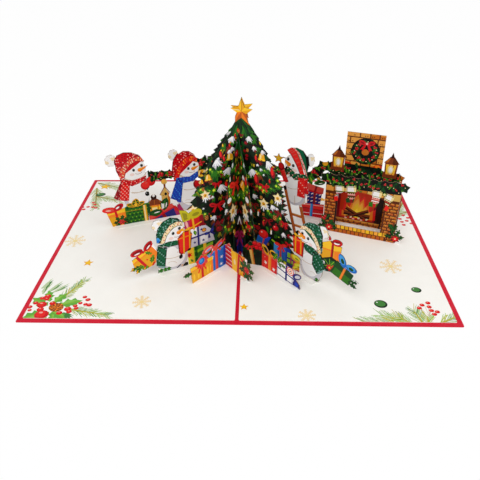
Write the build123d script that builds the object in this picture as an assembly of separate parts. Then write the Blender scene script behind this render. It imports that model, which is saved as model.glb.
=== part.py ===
"""Pop-up Christmas card, lying open: a scored cover, two printed pages and nine die-cut sheets that stand up on them.

Millimetres. The origin is the middle of the cover's underside, +X runs to the right page, +Y away from the reader
and +Z up. Every standing sheet is drawn flat, as the cutting die sees it, and is then stood on its fold line.
"""

import os
from math import cos, hypot, pi, radians, sin, sqrt

from build123d import *

# Card blank
OPEN_WIDTH = 300.0
CARD_DEPTH = 200.0
COVER_THICKNESS = 0.5
PAGE_THICKNESS = 0.4
PAGE_MARGIN = 3.6
SPINE_STRIP = 2.6
SPINE_SCORE_DEPTH = 0.2
SPINE_SCORE_WIDTH = 0.8
CORNER_RADIUS = 1.0

# Standing sheets
SHEET = 0.4
TAB_DEPTH = 5.0
SHORT_TAB_DEPTH = 3.0
TAB_BEVEL = 1.5
FOLD_CLEARANCE = 0.4
TALL = 140.0

# Where the folds stand on the spine, measured away from the reader, and how far their arms turn from X
TREE_FOLD_Y = -17.0
TREE_ARM_ANGLE = 27.0
SNOWMAN_RUN_ANGLE = 41.5
TREE_ARM_TO_BEND = 35.0
WING_ANGLE = 63.0
SCENE_FOLD_Y = 54.5
SCENE_ARM_ANGLE = 19.5
LADDER_LINE_Y = 20.0
LADDER_ANGLE = 22.0
FIREPLACE_DEPTH = 16.0
FIREPLACE_START = 83.65
LEFT_FENCE_FOLD = (-10.4, -35.1)
LEFT_FENCE_ANGLE = 46.0
CROSSING_ANGLE = 49.8
RIGHT_FENCE_FOLD = (17.4, -37.1)
RIGHT_FENCE_ANGLE = 45.6
TRUNK_RUN_ANGLE = 13.0

# The tree
TREE_TOP = 109.0
TREE_WIDEST = 12.0
TREE_HALF_WIDTH = 49.0
BACK_TREE_HALF_WIDTH = 44.0
BACK_TREE_REACH = 43.0
TREE_TAPER = 2.0
TREE_TIERS = 11
SKIRT_AT_BEND = 44.0
STAR_CENTRE = 115.6
STAR_SHIFT = 3.0
STAR_RADIUS = 8.6
STAR_NOTCH = 0.45
STAR_STEM = 2.0
STAR_FOLD_TOP = 118.4
CROWN_START = 55.0
LEFT_CROWN = -2.0
RIGHT_CROWN = 8.0
WING_TOP = 97.0
WING_HALF_WIDTH = 28.0
WING_FOOT = 9.5
WING_SKIRT = 27.0
WING_TIERS = 8

PAGE_TOP = COVER_THICKNESS + PAGE_THICKNESS


# Flat shapes, as the die cuts them


def poly(*points):
    """A closed outline with straight sides."""
    return make_face(Polyline(*points, close=True))


def disc(x, y, radius):
    return Pos(x, y) * Circle(radius)


def oval(x, y, half_width, half_height, tilt=0.0):
    return Pos(x, y) * (Rot(0, 0, tilt) * Ellipse(half_width, half_height))


def bar(start, end, width):
    """A strip of even width from one point to another."""
    run = hypot(end[0] - start[0], end[1] - start[1])
    across = width / 2 / run
    dx = (end[1] - start[1]) * across
    dy = (start[0] - end[0]) * across
    return poly(
        (start[0] + dx, start[1] + dy),
        (end[0] + dx, end[1] + dy),
        (end[0] - dx, end[1] - dy),
        (start[0] - dx, start[1] - dy),
    )


def join(*shapes):
    return Sketch() + list(shapes)


def pompom(x, y, half_width, half_height, tufts=9):
    """A woolly ball: an oval with a ring of rounded tufts."""
    tuft = 0.36 * half_height
    ring = []
    for i in range(tufts):
        turn = 2 * pi * i / tufts
        ring.append(disc(x + (half_width - tuft) * cos(turn), y + (half_height - tuft) * sin(turn), tuft))
    return join(oval(x, y, 0.8 * half_width, 0.8 * half_height), *ring)


def holly_leaf(x, y, length, heading, width=0.55):
    """A spiky leaf from its stalk at x, y towards its tip."""
    half = width * length / 2
    edge = [(0, 0), (0.16, 0.55), (0.27, 0.3), (0.44, 1.0), (0.54, 0.5), (0.72, 0.85), (0.8, 0.35), (1, 0)]
    upper = [(length * a, half * b) for a, b in edge]
    lower = [(a, -b) for a, b in reversed(upper[1:-1])]
    return Pos(x, y) * (Rot(0, 0, heading) * poly(*upper, *lower))


def leafy_band(route, half_width, spike, pitch):
    """A garland: a band along a route, with a spiky tuft of needles at each step of the pitch."""
    shapes = []
    count = 0
    for (x0, y0), (x1, y1) in zip(route, route[1:]):
        run = hypot(x1 - x0, y1 - y0)
        steps = max(1, round(run / pitch))
        shapes.append(bar((x0, y0), (x1, y1), 1.5 * half_width))
        for i in range(steps):
            x = x0 + (x1 - x0) * i / steps
            y = y0 + (y1 - y0) * i / steps
            shapes.append(star(x, y, half_width + spike * (0.7 + 0.3 * (count % 2)), 37 * count, 0.66))
            count += 1
    shapes.append(star(*route[-1], half_width + 0.5 * spike, 20, 0.66))
    return join(*shapes)


def star(x, y, radius, turn=90.0, notch=STAR_NOTCH):
    points = []
    for i in range(10):
        reach = radius if i % 2 == 0 else radius * notch
        angle = radians(turn + 36 * i)
        points.append((x + reach * cos(angle), y + reach * sin(angle)))
    return poly(*points)


def bow(x, y, size, tilt=0.0):
    """Two loops and a knot."""
    loops = [oval(side * 0.55 * size, 0.12 * size, 0.52 * size, 0.27 * size, side * 18) for side in (-1, 1)]
    return Pos(x, y) * (Rot(0, 0, tilt) * join(*loops, Circle(0.22 * size)))


def half_of(shape, side, reach=200.0):
    """The part of a flat shape on one side of its fold."""
    return shape & (Pos(side * reach / 2, 0) * Rectangle(reach, 4 * reach))


def tree_half_width(height, top, half_width):
    """The tree swells fast below its top and is nearly straight at its skirt."""
    drop = max(0.0, (height - TREE_WIDEST) / (top - TREE_WIDEST))
    return half_width * (1 - drop**TREE_TAPER)


def fir_edge(low, top, half_width, tiers, reach=None, crown=0.0):
    """Points up the branchy edge of half a tree: each tier is a drooping tip, a notch, a smaller tip and a notch.

    The crown is what the edge gains at the top: the printed tree bends over to the right a little.
    """
    points = []
    tier = (top - low) / tiers
    for i in range(tiers):
        base = low + i * tier
        for lift, share in ((0.0, 1.0), (0.34, 0.91), (0.5, 0.98), (0.86, 0.89)):
            height = base + lift * tier
            width = share * tree_half_width(height, top, half_width)
            width += crown * max(0.0, (height - CROWN_START) / (top - CROWN_START))
            if reach is not None:
                width = min(width, reach)
            points.append((max(width, STAR_STEM), height))
    return points


def turned(points, side):
    return [(side * x, y) for x, y in points]


# Standing sheets


class Arm:
    """One straight run of a standing sheet. Its flat shape has x along the foot, from the fold, and y up.

    The printed side faces the reader. A run to the left of its fold has negative x.
    """

    def __init__(self, foot, heading):
        self.foot = foot
        self.along = Vector(cos(radians(heading)), sin(radians(heading)), 0)
        self.front = Vector(sin(radians(heading)), -cos(radians(heading)), 0)
        base = (foot[0], foot[1], PAGE_TOP)
        self.wall = Plane(origin=base, x_dir=self.along, z_dir=self.front)
        self.ground = Plane(origin=base, x_dir=self.along, z_dir=(0, 0, 1))

    def at(self, x, forward=0.0):
        """The place on the page x along the foot and forward of it."""
        spot = Vector(self.foot[0], self.foot[1], 0) + self.along * x + self.front * forward
        return spot.X, spot.Y

    def stand(self, outline):
        """The outline as card, with anything below the page trimmed off."""
        trimmed = outline & (Pos(0, TALL / 2) * Rectangle(2 * OPEN_WIDTH, TALL))
        return extrude(self.wall * trimmed, amount=SHEET / 2, both=True)

    def tab(self, start, end, forward=True, depth=TAB_DEPTH):
        """A glue tab folded down on the page, with bevelled ends."""
        out = -depth if forward else depth
        flap = poly((start, 0), (end, 0), (end - TAB_BEVEL, out), (start + TAB_BEVEL, out))
        return extrude(self.ground * flap, amount=SHEET)


def fold(left, right, low, high):
    """The outside of a fold between two runs, filled to a sharp edge."""
    foot = Vector(right.foot[0], right.foot[1], 0)
    outside = -1 if left.along.cross(right.along).Z > 0 else 1
    middle = (left.front + right.front).normalized()
    half_turn = sqrt((1 + left.front.dot(right.front)) / 2)
    corners = [
        foot,
        foot - left.front * (outside * SHEET / 2),
        foot - middle * (outside * SHEET / 2 / half_turn),
        foot - right.front * (outside * SHEET / 2),
    ]
    wedge = poly(*[(corner.X, corner.Y) for corner in corners])
    return Pos(0, 0, PAGE_TOP + low) * extrude(wedge, amount=high - low)


def sheet(*solids):
    """One folded sheet from its runs and tabs."""
    return Part() + list(solids)


# Runs on the page, from the tree outwards
tree_left = Arm((0, TREE_FOLD_Y), TREE_ARM_ANGLE)
tree_right = Arm((0, TREE_FOLD_Y), -TREE_ARM_ANGLE)
snowman_run = Arm(tree_right.at(TREE_ARM_TO_BEND), -SNOWMAN_RUN_ANGLE)

FRONT_TO_BACK = SHEET / cos(radians(TREE_ARM_ANGLE)) + FOLD_CLEARANCE
far_left = Arm((0, TREE_FOLD_Y + FRONT_TO_BACK), -TREE_ARM_ANGLE)
far_right = Arm((0, TREE_FOLD_Y + FRONT_TO_BACK), TREE_ARM_ANGLE)

TREE_TO_WING = SHEET / 2 / cos(radians(TREE_ARM_ANGLE)) + SHEET / 2 / cos(radians(WING_ANGLE)) + FOLD_CLEARANCE
wing_left = Arm((0, TREE_FOLD_Y - TREE_TO_WING), WING_ANGLE)
wing_right = Arm((0, TREE_FOLD_Y - TREE_TO_WING), -WING_ANGLE)
far_wing_left = Arm((0, TREE_FOLD_Y + FRONT_TO_BACK + TREE_TO_WING), -WING_ANGLE)
far_wing_right = Arm((0, TREE_FOLD_Y + FRONT_TO_BACK + TREE_TO_WING), WING_ANGLE)

scene_left = Arm((0, SCENE_FOLD_Y), SCENE_ARM_ANGLE)
scene_right = Arm((0, SCENE_FOLD_Y), -SCENE_ARM_ANGLE)
ladder_run = Arm((0, LADDER_LINE_Y), -LADDER_ANGLE)
fireplace_run = Arm(scene_right.at(FIREPLACE_START, FIREPLACE_DEPTH), -SCENE_ARM_ANGLE)

fence_left = Arm(LEFT_FENCE_FOLD, LEFT_FENCE_ANGLE)
crossing = Arm(LEFT_FENCE_FOLD, -CROSSING_ANGLE)
fence_right = Arm(RIGHT_FENCE_FOLD, -RIGHT_FENCE_ANGLE)
trunk_run = Arm(RIGHT_FENCE_FOLD, -TRUNK_RUN_ANGLE)


# Cover and pages


def card_cover():
    """The crimson sheet, scored on its inner side along the spine."""
    blank = extrude(RectangleRounded(OPEN_WIDTH, CARD_DEPTH, CORNER_RADIUS), amount=COVER_THICKNESS)
    score = Box(SPINE_SCORE_WIDTH, CARD_DEPTH, SPINE_SCORE_DEPTH, align=(Align.CENTER, Align.CENTER, Align.MAX))
    return blank - Pos(0, 0, COVER_THICKNESS) * score


def page(side):
    width = OPEN_WIDTH / 2 - PAGE_MARGIN - SPINE_STRIP / 2
    depth = CARD_DEPTH - 2 * PAGE_MARGIN
    middle = side * (SPINE_STRIP / 2 + width / 2)
    return Pos(middle, 0, COVER_THICKNESS) * extrude(RectangleRounded(width, depth, CORNER_RADIUS), amount=PAGE_THICKNESS)


# The tree


def tree_half(side, low, half_width, reach=None, crown=0.0):
    """Half a tree from the fold outwards, with its foot on y = low."""
    edge = fir_edge(low, TREE_TOP, half_width, TREE_TIERS, reach, crown)
    stem = STAR_STEM + max(0.0, side * STAR_SHIFT)
    tip = [(stem, STAR_CENTRE - 0.5 * STAR_RADIUS), (0, STAR_CENTRE)]
    return poly((0, low), *turned(edge, side), *turned(tip, side))


def half_star(side):
    return half_of(star(STAR_SHIFT, STAR_CENTRE, STAR_RADIUS), side)


def near_left_shape():
    """Tree half, the gift stack at its skirt, the green-hatted snowman and its leaning yellow gift."""
    gift_stack = join(
        poly((-45.6, 0), (-24, 0), (-22.5, 13), (-26, 27), (-31, 41), (-44.5, 41), (-44, 18)),
        poly((-47.4, 50.5), (-42.5, 49), (-40, 45.5), (-40, 40), (-45.5, 40)),
        oval(-35.5, 44.6, 5.0, 3.4, 12),
    )
    figure = join(
        pompom(-64.4, 42.4, 4.2, 4.8),
        poly((-66.6, 28.0), (-66.2, 35), (-64, 40), (-60, 44.6), (-54.5, 46.4), (-49, 44.4), (-45.8, 40.4), (-46, 37), (-50, 30), (-60, 25)),
        oval(-54.6, 32.4, 9.4, 9.2),
        poly((-49.6, 34.4), (-44.6, 35.6), (-49.2, 31.6)),
        poly((-66.0, 25.4), (-58, 20.6), (-50, 20.4), (-49.6, 25.6)),
        poly((-66.2, 25), (-68.9, 7.6), (-62.9, 4.4), (-59.5, 21)),
        oval(-56.4, 11.4, 12.2, 12.2),
        poly((-68.4, 0), (-66.8, 12), (-45.4, 12), (-45.2, 0)),
        poly((-50.2, 27.4), (-50.6, 13.6), (-49.2, 11.0), (-41.6, 14.8), (-39.6, 28.4), (-41.0, 31.4), (-45.5, 33.4)),
    )
    leaning_gift = join(
        poly((-86.2, 18.4), (-69.4, 28.8), (-64.5, 16.0), (-70.8, 9.6), (-78.4, 7.4), (-85.6, 13.2)),
        oval(-82.0, 24.0, 4.8, 2.6, 14),
        oval(-73.2, 27.6, 4.6, 2.3, 48),
        holly_leaf(-81.0, 12.0, 8.0, 200),
        holly_leaf(-80.0, 11.5, 7.5, 232),
        holly_leaf(-71.0, 18.0, 7.0, 250),
    )
    half = tree_half(-1, 0, TREE_HALF_WIDTH, crown=LEFT_CROWN)
    return join(half, half_star(-1), gift_stack, figure, leaning_gift)


def near_right_shape():
    """Tree half up to the bend. Above the skirt its tips stop just short of the bend, so that the card can fold there."""
    half = tree_half(1, 0, TREE_HALF_WIDTH, TREE_ARM_TO_BEND, RIGHT_CROWN)
    relief = Pos(TREE_ARM_TO_BEND, SKIRT_AT_BEND) * Rectangle(2 * SHEET, TALL, align=(Align.CENTER, Align.MIN))
    return join(half - relief, half_star(1))


def snowman_run_shape():
    """Past the bend: the tree's skirt, low gifts, the second green-hatted snowman and its two leaning gifts."""
    skirt = fir_edge(0, TREE_TOP, TREE_HALF_WIDTH, TREE_TIERS)
    skirt = [(x - TREE_ARM_TO_BEND, y) for x, y in skirt if x > TREE_ARM_TO_BEND and y < SKIRT_AT_BEND - 1]
    low_gifts = join(
        poly((0, 0), (0, 17), (6.6, 17), (7.5, 14), (14, 14.4), (14, 0)),
        oval(15.6, 11.6, 4.6, 2.8, -12),
        oval(18.2, 5.4, 4.2, 3.0, 8),
        poly((12, 0), (22.2, 0), (22.2, 7), (14, 12)),
    )
    figure = join(
        pompom(36.6, 44.8, 4.0, 5.0),
        poly((16.8, 39.0), (19.6, 44.2), (24, 47.6), (28.6, 48.6), (33.2, 48.2), (36.2, 42), (36.6, 34), (36.8, 28.2), (33.6, 25.4), (24, 33)),
        oval(26.4, 34.0, 9.6, 8.8),
        poly((20.4, 35.2), (15.2, 37.0), (20.8, 32.2)),
        poly((20.6, 28.4), (22.6, 23.2), (32, 21.4), (34.4, 25.6), (30, 29.5)),
        poly((29.6, 24.6), (36.6, 25.4), (41.6, 15.4), (34.4, 8.0), (29.8, 14)),
        oval(29.6, 11.6, 9.6, 12.4),
        poly((20.8, 0), (20.6, 11.5), (39.0, 11.5), (36.4, 0)),
        poly((11.0, 31.6), (14.5, 36.6), (19, 35.2), (21.4, 28), (21.2, 15.8), (12.6, 17.0)),
    )
    leaning_gifts = join(
        poly((35.5, 36.2), (43.2, 41.2), (52.2, 39.6), (51.4, 25.6), (43, 20.4), (35.5, 24)),
        oval(40.2, 43.2, 3.2, 1.9, -28),
        oval(48.2, 41.6, 4.2, 2.5, 16),
        poly((40.5, 13.6), (38.5, 24), (45, 28), (50.4, 26.4), (48.6, 16.6)),
        poly((45.6, 15.4), (50.2, 27.4), (63.6, 21.6), (60.8, 11.4)),
        oval(54.0, 29.2, 2.5, 5.2, 24),
        oval(61.2, 26.2, 4.4, 2.6, -8),
        holly_leaf(60.5, 15.6, 8.0, 14),
        holly_leaf(60.0, 14.0, 7.5, -16),
    )
    return join(poly((0, 0), *skirt, (0, SKIRT_AT_BEND)), low_gifts, figure, leaning_gifts)


def tree_front():
    return sheet(
        tree_left.stand(near_left_shape()),
        tree_right.stand(near_right_shape()),
        snowman_run.stand(snowman_run_shape()),
        fold(tree_left, tree_right, 0, STAR_FOLD_TOP),
        fold(tree_right, snowman_run, 0, SKIRT_AT_BEND),
        tree_left.tab(-68, -14),
        tree_right.tab(14, 33),
        snowman_run.tab(3, 36),
    )


def far_shape(side):
    """A far tree half: its skirt hangs over a low row of gifts, and the trunk stands in the fold."""
    low = 12.0
    half = tree_half(side, low, BACK_TREE_HALF_WIDTH, BACK_TREE_REACH)
    trunk = poly((0, 0), (side * 5, 0), (side * 4, low + 1), (0, low + 1))
    gifts = [
        poly((side * 4.5, 0), (side * 15, 0), (side * 15, 15), (side * 4.5, 15)),
        poly((side * 15, 0), (side * 25, 0), (side * 26, 13), (side * 15, 13)),
        poly((side * 25, 0), (side * 38, 0), (side * 37, 15), (side * 25, 15)),
    ]
    return join(half, half_star(side), trunk, *gifts)


def tree_back():
    return sheet(
        far_left.stand(far_shape(-1)),
        far_right.stand(far_shape(1)),
        fold(far_left, far_right, 0, STAR_FOLD_TOP),
        far_left.tab(-36, -14, forward=False),
        far_right.tab(14, 36, forward=False),
    )


def wing_shape(side):
    """A narrow half tree, cut away below its skirt so that it clears the gifts in front of it."""
    edge = fir_edge(WING_SKIRT, WING_TOP, WING_HALF_WIDTH, WING_TIERS)
    foot = [(0, 0), (WING_FOOT, 0), (WING_FOOT, WING_SKIRT - 4), (WING_HALF_WIDTH * 0.55, WING_SKIRT + 1)]
    return poly(*turned(foot, side), *turned(edge, side), (0, WING_TOP + 1))


def wings(left, right, outward):
    """Two wings and their short tabs, which fold away from each other."""
    return sheet(
        left.stand(wing_shape(-1)),
        right.stand(wing_shape(1)),
        fold(left, right, 0, WING_TOP + 1),
        left.tab(-WING_FOOT, -WING_FOOT / 2, outward, SHORT_TAB_DEPTH),
        right.tab(WING_FOOT / 2, WING_FOOT, outward, SHORT_TAB_DEPTH),
    )


# The scene behind

GARLAND_AT_FOLD = (41.4, 46.9)


def scene_left_shape():
    """From the left: gifts, the first red-hatted snowman, lantern, birdhouse, tilted gift, second snowman, garland."""
    gifts = join(
        poly((-120.8, 14.4), (-104.4, 17.0), (-103.6, 0), (-117.6, 0)),
        oval(-118.0, 16.8, 6.0, 2.7, -4),
        oval(-110.0, 18.4, 4.6, 2.6, 32),
        poly((-104.6, 17.4), (-85.0, 15.0), (-86.6, 0), (-104.0, 0)),
        bow(-95.5, 17.4, 6.0),
    )
    first = join(
        pompom(-109.6, 61.4, 4.8, 5.2),
        poly((-104.8, 44.0), (-107.0, 52), (-106.8, 61), (-104.5, 65.2), (-99, 67), (-93, 66.2), (-87, 63), (-83.6, 57.2), (-85.5, 53), (-96, 46)),
        oval(-93.8, 50.8, 10.8, 9.4),
        poly((-88.2, 51.2), (-81.2, 52.8), (-88.6, 48.2)),
        poly((-105.0, 44.0), (-105.2, 39.4), (-96, 36.4), (-84.2, 39.6), (-84.2, 43.6)),
        poly((-105.0, 41.0), (-112.6, 27.8), (-109.2, 24.4), (-101.0, 23.0), (-98.0, 38)),
        oval(-94.0, 26.2, 11.0, 14.6),
        disc(-80.6, 37.6, 4.0),
        oval(-85.0, 34.8, 3.4, 3.8),
        poly((-104, 12), (-84.4, 12), (-83.2, 24), (-103.4, 24)),
    )
    lantern = join(
        disc(-79.8, 22.4, 2.5),
        poly((-87.0, 14.8), (-82.0, 20.6), (-77.8, 20.8), (-72.6, 16.6), (-73.0, 15.0)),
        poly((-85.8, 0), (-85.6, 15.6), (-74.0, 15.6), (-74.2, 0)),
    )
    tilted = join(
        poly((-83.6, 0), (-84.4, 3.8), (-64.6, 13.4), (-60.6, 9.0), (-58.8, 0)),
        oval(-68.6, 14.4, 2.6, 6.6, -16),
        oval(-79.6, 9.6, 5.6, 2.8, 12),
    )
    second = join(
        pompom(-59.4, 58.4, 4.4, 5.0),
        poly((-60.6, 34.2), (-62.0, 44), (-60.4, 52.5), (-56, 58.4), (-51, 60.8), (-46, 60), (-42, 56.6), (-40.0, 52.4), (-42, 49), (-54, 37)),
        oval(-48.4, 44.8, 9.4, 8.6),
        poly((-44.0, 46.6), (-39.2, 45.8), (-44.4, 43.4)),
        poly((-58.6, 37.0), (-54.4, 31.6), (-44, 32.4), (-39.8, 35.0), (-40.0, 40.2)),
        poly((-58.4, 36.6), (-65.4, 18.4), (-56.8, 13.0), (-53.4, 32)),
        oval(-49.0, 20.0, 12.0, 15.6),
        oval(-41.0, 27.6, 3.4, 4.0),
        poly((-60.0, 0), (-60.4, 11), (-40.0, 11), (-38.0, 0)),
    )
    garlands = join(
        leafy_band([(-82.5, 43.4), (-73, 41.4), (-60.5, 41.6)], 3.6, 2.0, 4.0),
        leafy_band([(-42.0, 47.0), (-31, 49.0), (-14, 45.6), (0, 44.2)], 3.8, 2.0, 4.4),
        poly((-41.0, 47), (-30.0, 47), (-31.0, 40), (-41.0, 38)),
        oval(-37.6, 37.4, 3.2, 4.2, -8),
        oval(-33.4, 38.0, 2.9, 4.2, 10),
        disc(-69.4, 35.4, 2.6),
        bar((-69.4, 35), (-69.4, 29), 1.6),
        poly((-74.4, 23.6), (-69.4, 31.4), (-65.2, 24.4), (-66.6, 22.6), (-66.8, 14.4), (-73.2, 14.4), (-73.0, 22.4)),
    )
    return half_of(join(gifts, first, lantern, tilted, second, garlands), -1)


def scene_right_shape():
    """The garland, the gift stack, and the fireplace's back wall with upper garland, lanterns, chimney and wreath."""
    garlands = join(
        leafy_band([(0, 44.2), (18, 42.0), (40, 38.6), (59, 38.0), (66, 43.0), (71.5, 50.2), (79, 51.2)], 3.8, 2.0, 4.4),
        leafy_band([(76.0, 50.6), (92, 50.0), (112, 49.8), (131.6, 49.6)], 3.8, 2.0, 4.2),
        disc(68.6, 38.2, 1.8),
        bar((68.6, 38), (68.6, 45), 1.4),
    )
    stack = join(
        poly((55.4, 0), (55.2, 12.4), (75.2, 14.2), (75.2, 0)),
        poly((60.4, 12), (59.4, 27), (72.6, 26), (71.6, 13)),
        poly((58.6, 26.0), (58.8, 32.8), (73.8, 30.0), (73.6, 24.4)),
        oval(61.4, 35.8, 1.9, 4.6, 20),
        oval(69.8, 34.6, 4.8, 2.2, 16),
    )
    wall = join(
        poly((78.8, 0), (78.8, 52), (129, 52), (130, 36), (137, 34), (137, 0)),
        poly((88.4, 50), (88.0, 83.0), (117.2, 83.4), (117.8, 50)),
    )
    lanterns = []
    for x in (83.2, 124.4):
        lanterns.append(poly((x - 4.4, 50), (x - 5.0, 62), (x + 5.0, 62), (x + 4.4, 50)))
        lanterns.append(poly((x - 5.8, 61.6), (x - 1.6, 67.0), (x + 1.6, 67.0), (x + 5.8, 61.6)))
        lanterns.append(poly((x - 1.4, 66.5), (x, 70.8), (x + 1.4, 66.5)))
    return half_of(join(garlands, stack, wall, *lanterns), 1)


def back_scene():
    return sheet(
        scene_left.stand(scene_left_shape()),
        scene_right.stand(scene_right_shape()),
        fold(scene_left, scene_right, *GARLAND_AT_FOLD),
        scene_left.tab(-116, -39.5),
        scene_right.tab(56.5, 74.5),
        scene_right.tab(FIREPLACE_START + 4, FIREPLACE_START + 46, depth=SHORT_TAB_DEPTH),
    )


# The snowman on the ladder


def ladder_shape():
    figure = join(
        star(32.0, 68.6, 4.4),
        oval(34.4, 62.4, 2.4, 3.2, 24),
        bar((34.6, 61.0), (38.6, 50.0), 3.6),
        poly((36.2, 53.0), (41.5, 58), (42, 48), (38.6, 47.6)),
        oval(44.4, 64.6, 7.2, 9.0, 20),
        poly((41.4, 69.4), (35.4, 70.4), (41.4, 65.2)),
        poly((38.6, 76.8), (41.4, 79.0), (46, 79.6), (51, 78.0), (54.6, 73.4), (56.0, 66), (54.6, 57.8), (51.4, 57.2), (48, 64.0), (40.2, 74.4)),
        pompom(57.0, 71.4, 3.2, 5.2),
        poly((37.2, 61.4), (45.6, 53.0), (56.2, 55.0), (55.0, 58.6), (46, 58.5), (39.4, 63.4)),
        poly((48.6, 55), (48.6, 39.4), (54.4, 38.8), (57.4, 42.8), (55.4, 56)),
        oval(46.8, 43.4, 9.0, 13.2),
        poly((40.4, 34), (47.4, 30.2), (55.2, 33.4), (54, 42), (41, 42)),
    )
    rails = [bar((37.8, 46.0), (49.2, 0.2), 2.4), bar((50.6, 34.0), (59.4, 0.2), 2.4)]
    rungs = [bar((49.2 - 0.25 * h, h + 0.6), (59.4 - 0.26 * h, h - 0.6), 2.2) for h in (11.0, 21.0)]
    feet = [poly((48.0, 0), (47.6, 2), (50.6, 2), (50.6, 0)), poly((58.0, 0), (57.6, 2), (60.8, 2), (60.8, 0))]
    return join(figure, *rails, *rungs, *feet)


def ladder_snowman():
    return sheet(
        ladder_run.stand(ladder_shape()),
        ladder_run.tab(47.9, 60.8, depth=TAB_DEPTH),
    )


# The fireplace's front

FRAME_LEFT = -4.6
FRAME_RIGHT = 52.4
FRAME_TOP = 47.0
OPENING_LEFT = 5.2
OPENING_RIGHT = 42.0
OPENING_SILL = 7.4
OPENING_SPRING = 37.0
OPENING_CROWN = 41.0
FLAP_WIDTH = 4.0
FLAP_TOP = 34.0


def stocking(x, y, tilt, side):
    """A hanging stocking: cuff, leg and toe."""
    leg = poly(*turned([(-3.0, 0), (3.0, 0), (2.8, -9), (4.4, -11.2), (4.0, -14.4), (-1.5, -14.2), (-3.0, -9)], side))
    cuff = poly((-3.7, 0.4), (3.7, 0.4), (3.6, -4.2), (-3.6, -4.2))
    return Pos(x, y) * (Rot(0, 0, tilt) * join(leg, cuff))


def fireplace_shape():
    frame = poly((FRAME_LEFT, 0), (FRAME_LEFT - 0.8, FRAME_TOP), (FRAME_RIGHT, FRAME_TOP), (FRAME_RIGHT, 0))
    mid = (OPENING_LEFT + OPENING_RIGHT) / 2
    arch = ThreePointArc((OPENING_RIGHT, OPENING_SPRING), (mid, OPENING_CROWN), (OPENING_LEFT, OPENING_SPRING))
    sides = Polyline((OPENING_LEFT, OPENING_SPRING), (OPENING_LEFT, OPENING_SILL), (OPENING_RIGHT, OPENING_SILL), (OPENING_RIGHT, OPENING_SPRING))
    opening = make_face(Curve() + [arch, sides])
    stockings = [stocking(14.6, 44.6, 6, -1), stocking(34.8, 44.2, -4, -1)]
    garland = leafy_band([(-6.0, 49.4), (12, 48.8), (34, 49.4), (53.6, 50.6)], 3.6, 2.0, 4.2)
    left_holly = [holly_leaf(-1, 4, 9.5, 128), holly_leaf(-2, 4.5, 8.5, 180), holly_leaf(-1, 4, 9, 62), holly_leaf(-4, 9, 6.5, 108)]
    right_holly = [holly_leaf(53, 5, 9, 168), holly_leaf(53, 5, 9.5, 66), holly_leaf(53, 5, 8.5, 14), holly_leaf(52, 10, 9, 84)]
    berries = [poly((-3, 0), (-3.6, 6), (3, 6), (3, 0)), disc(54.4, 4.0, 4.0), poly((50, 0), (50, 4), (59, 4), (59, 0))]
    return join(frame - opening, *stockings, garland, *left_holly, *right_holly, *berries)


def fireplace_front():
    """The front frame with its two side walls folded back to the scene's wall, and a glue tab on each."""
    wall_depth = FIREPLACE_DEPTH - SHEET
    solids = [fireplace_run.stand(fireplace_shape())]
    for x, inward in ((FRAME_LEFT, Align.MIN), (FRAME_RIGHT, Align.MAX)):
        start = fireplace_run.at(x)
        side = Plane(origin=(*start, PAGE_TOP), x_dir=-fireplace_run.front, z_dir=fireplace_run.along)
        wall = poly((0, 0), (0, FRAME_TOP), (wall_depth, FLAP_TOP), (wall_depth, 0))
        solids.append(extrude(side * wall, amount=SHEET / 2, both=True))
        end = Arm(fireplace_run.at(x, -wall_depth), -SCENE_ARM_ANGLE)
        solids.append(end.stand(Rectangle(FLAP_WIDTH, FLAP_TOP, align=(inward, Align.MIN))))
    solids.append(fireplace_run.tab(8, 40, forward=False, depth=SHORT_TAB_DEPTH))
    return sheet(*solids)


# The low strips of gifts in front


def left_fence_shape():
    return join(
        poly((-33.6, 0), (-34.6, 14.6), (-13.4, 14.6), (-13.4, 0)),
        star(-23.6, 15.6, 5.8, 90, 0.72),
        disc(-23.6, 15.6, 4.6),
        poly((-19, 0), (-19, 18.0), (0, 18.6), (0, 0)),
        oval(-17.4, 22.6, 5.4, 2.6, 12),
        oval(-6.2, 22.2, 6.6, 2.3, 24),
        poly((-14, 17), (-13, 22.5), (-9, 22.5), (-8, 17)),
        holly_leaf(-33.0, 9.6, 8.6, 172),
    )


def crossing_shape():
    return join(
        poly((0, 0), (0, 18.6), (3.0, 20.0), (9, 19.0), (10, 0)),
        bar((2.0, 18), (6.0, 21.8), 2.4),
        poly((8.6, 0), (8.2, 17.8), (22.8, 19.4), (24.0, 0)),
        poly((22.4, 19.2), (26.0, 19.0), (25.0, 5), (22.0, 2)),
        holly_leaf(25.5, 9.0, 9.6, 66),
        holly_leaf(25.5, 9.0, 9.0, 18),
        holly_leaf(25.5, 9.0, 8.8, -38),
        disc(25.8, 9.0, 4.4),
        poly((16.0, 0), (16.0, 8), (27.5, 8), (28.5, 0)),
    )


def right_fence_shape():
    return join(
        poly((0, 0), (0, 15.6), (15.8, 14.6), (15.8, 0)),
        oval(3.6, 17.6, 4.6, 2.3, 132),
        oval(11.4, 17.4, 3.6, 2.8, -8),
        holly_leaf(12.0, 13.0, 8.0, 62),
        holly_leaf(16.5, 12.0, 8.0, 66),
        poly((15.6, 0), (15.6, 14.6), (33.6, 14.0), (33.6, 0)),
        oval(35.4, 9.8, 4.2, 2.4, 34),
        poly((32.6, 0), (33.0, 8), (38.2, 3.6), (39.0, 0)),
    )


def trunk_shape():
    """Dark lower branches and the trunk, in front of the tree's foot."""
    return join(
        poly((0, 0), (0, 17), (-2.4, 21.0), (-6, 20.0), (-9.4, 21.6), (-14.6, 15.0), (-15.2, 0)),
        disc(-5.6, 20.4, 2.2),
        disc(-2.4, 19.6, 2.0),
    )


def gift_fence_left():
    return sheet(
        fence_left.stand(left_fence_shape()),
        crossing.stand(crossing_shape()),
        fold(fence_left, crossing, 0, 18.6),
        fence_left.tab(-33, -7, depth=SHORT_TAB_DEPTH),
        crossing.tab(19.5, 27.5, depth=SHORT_TAB_DEPTH),
    )


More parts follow.
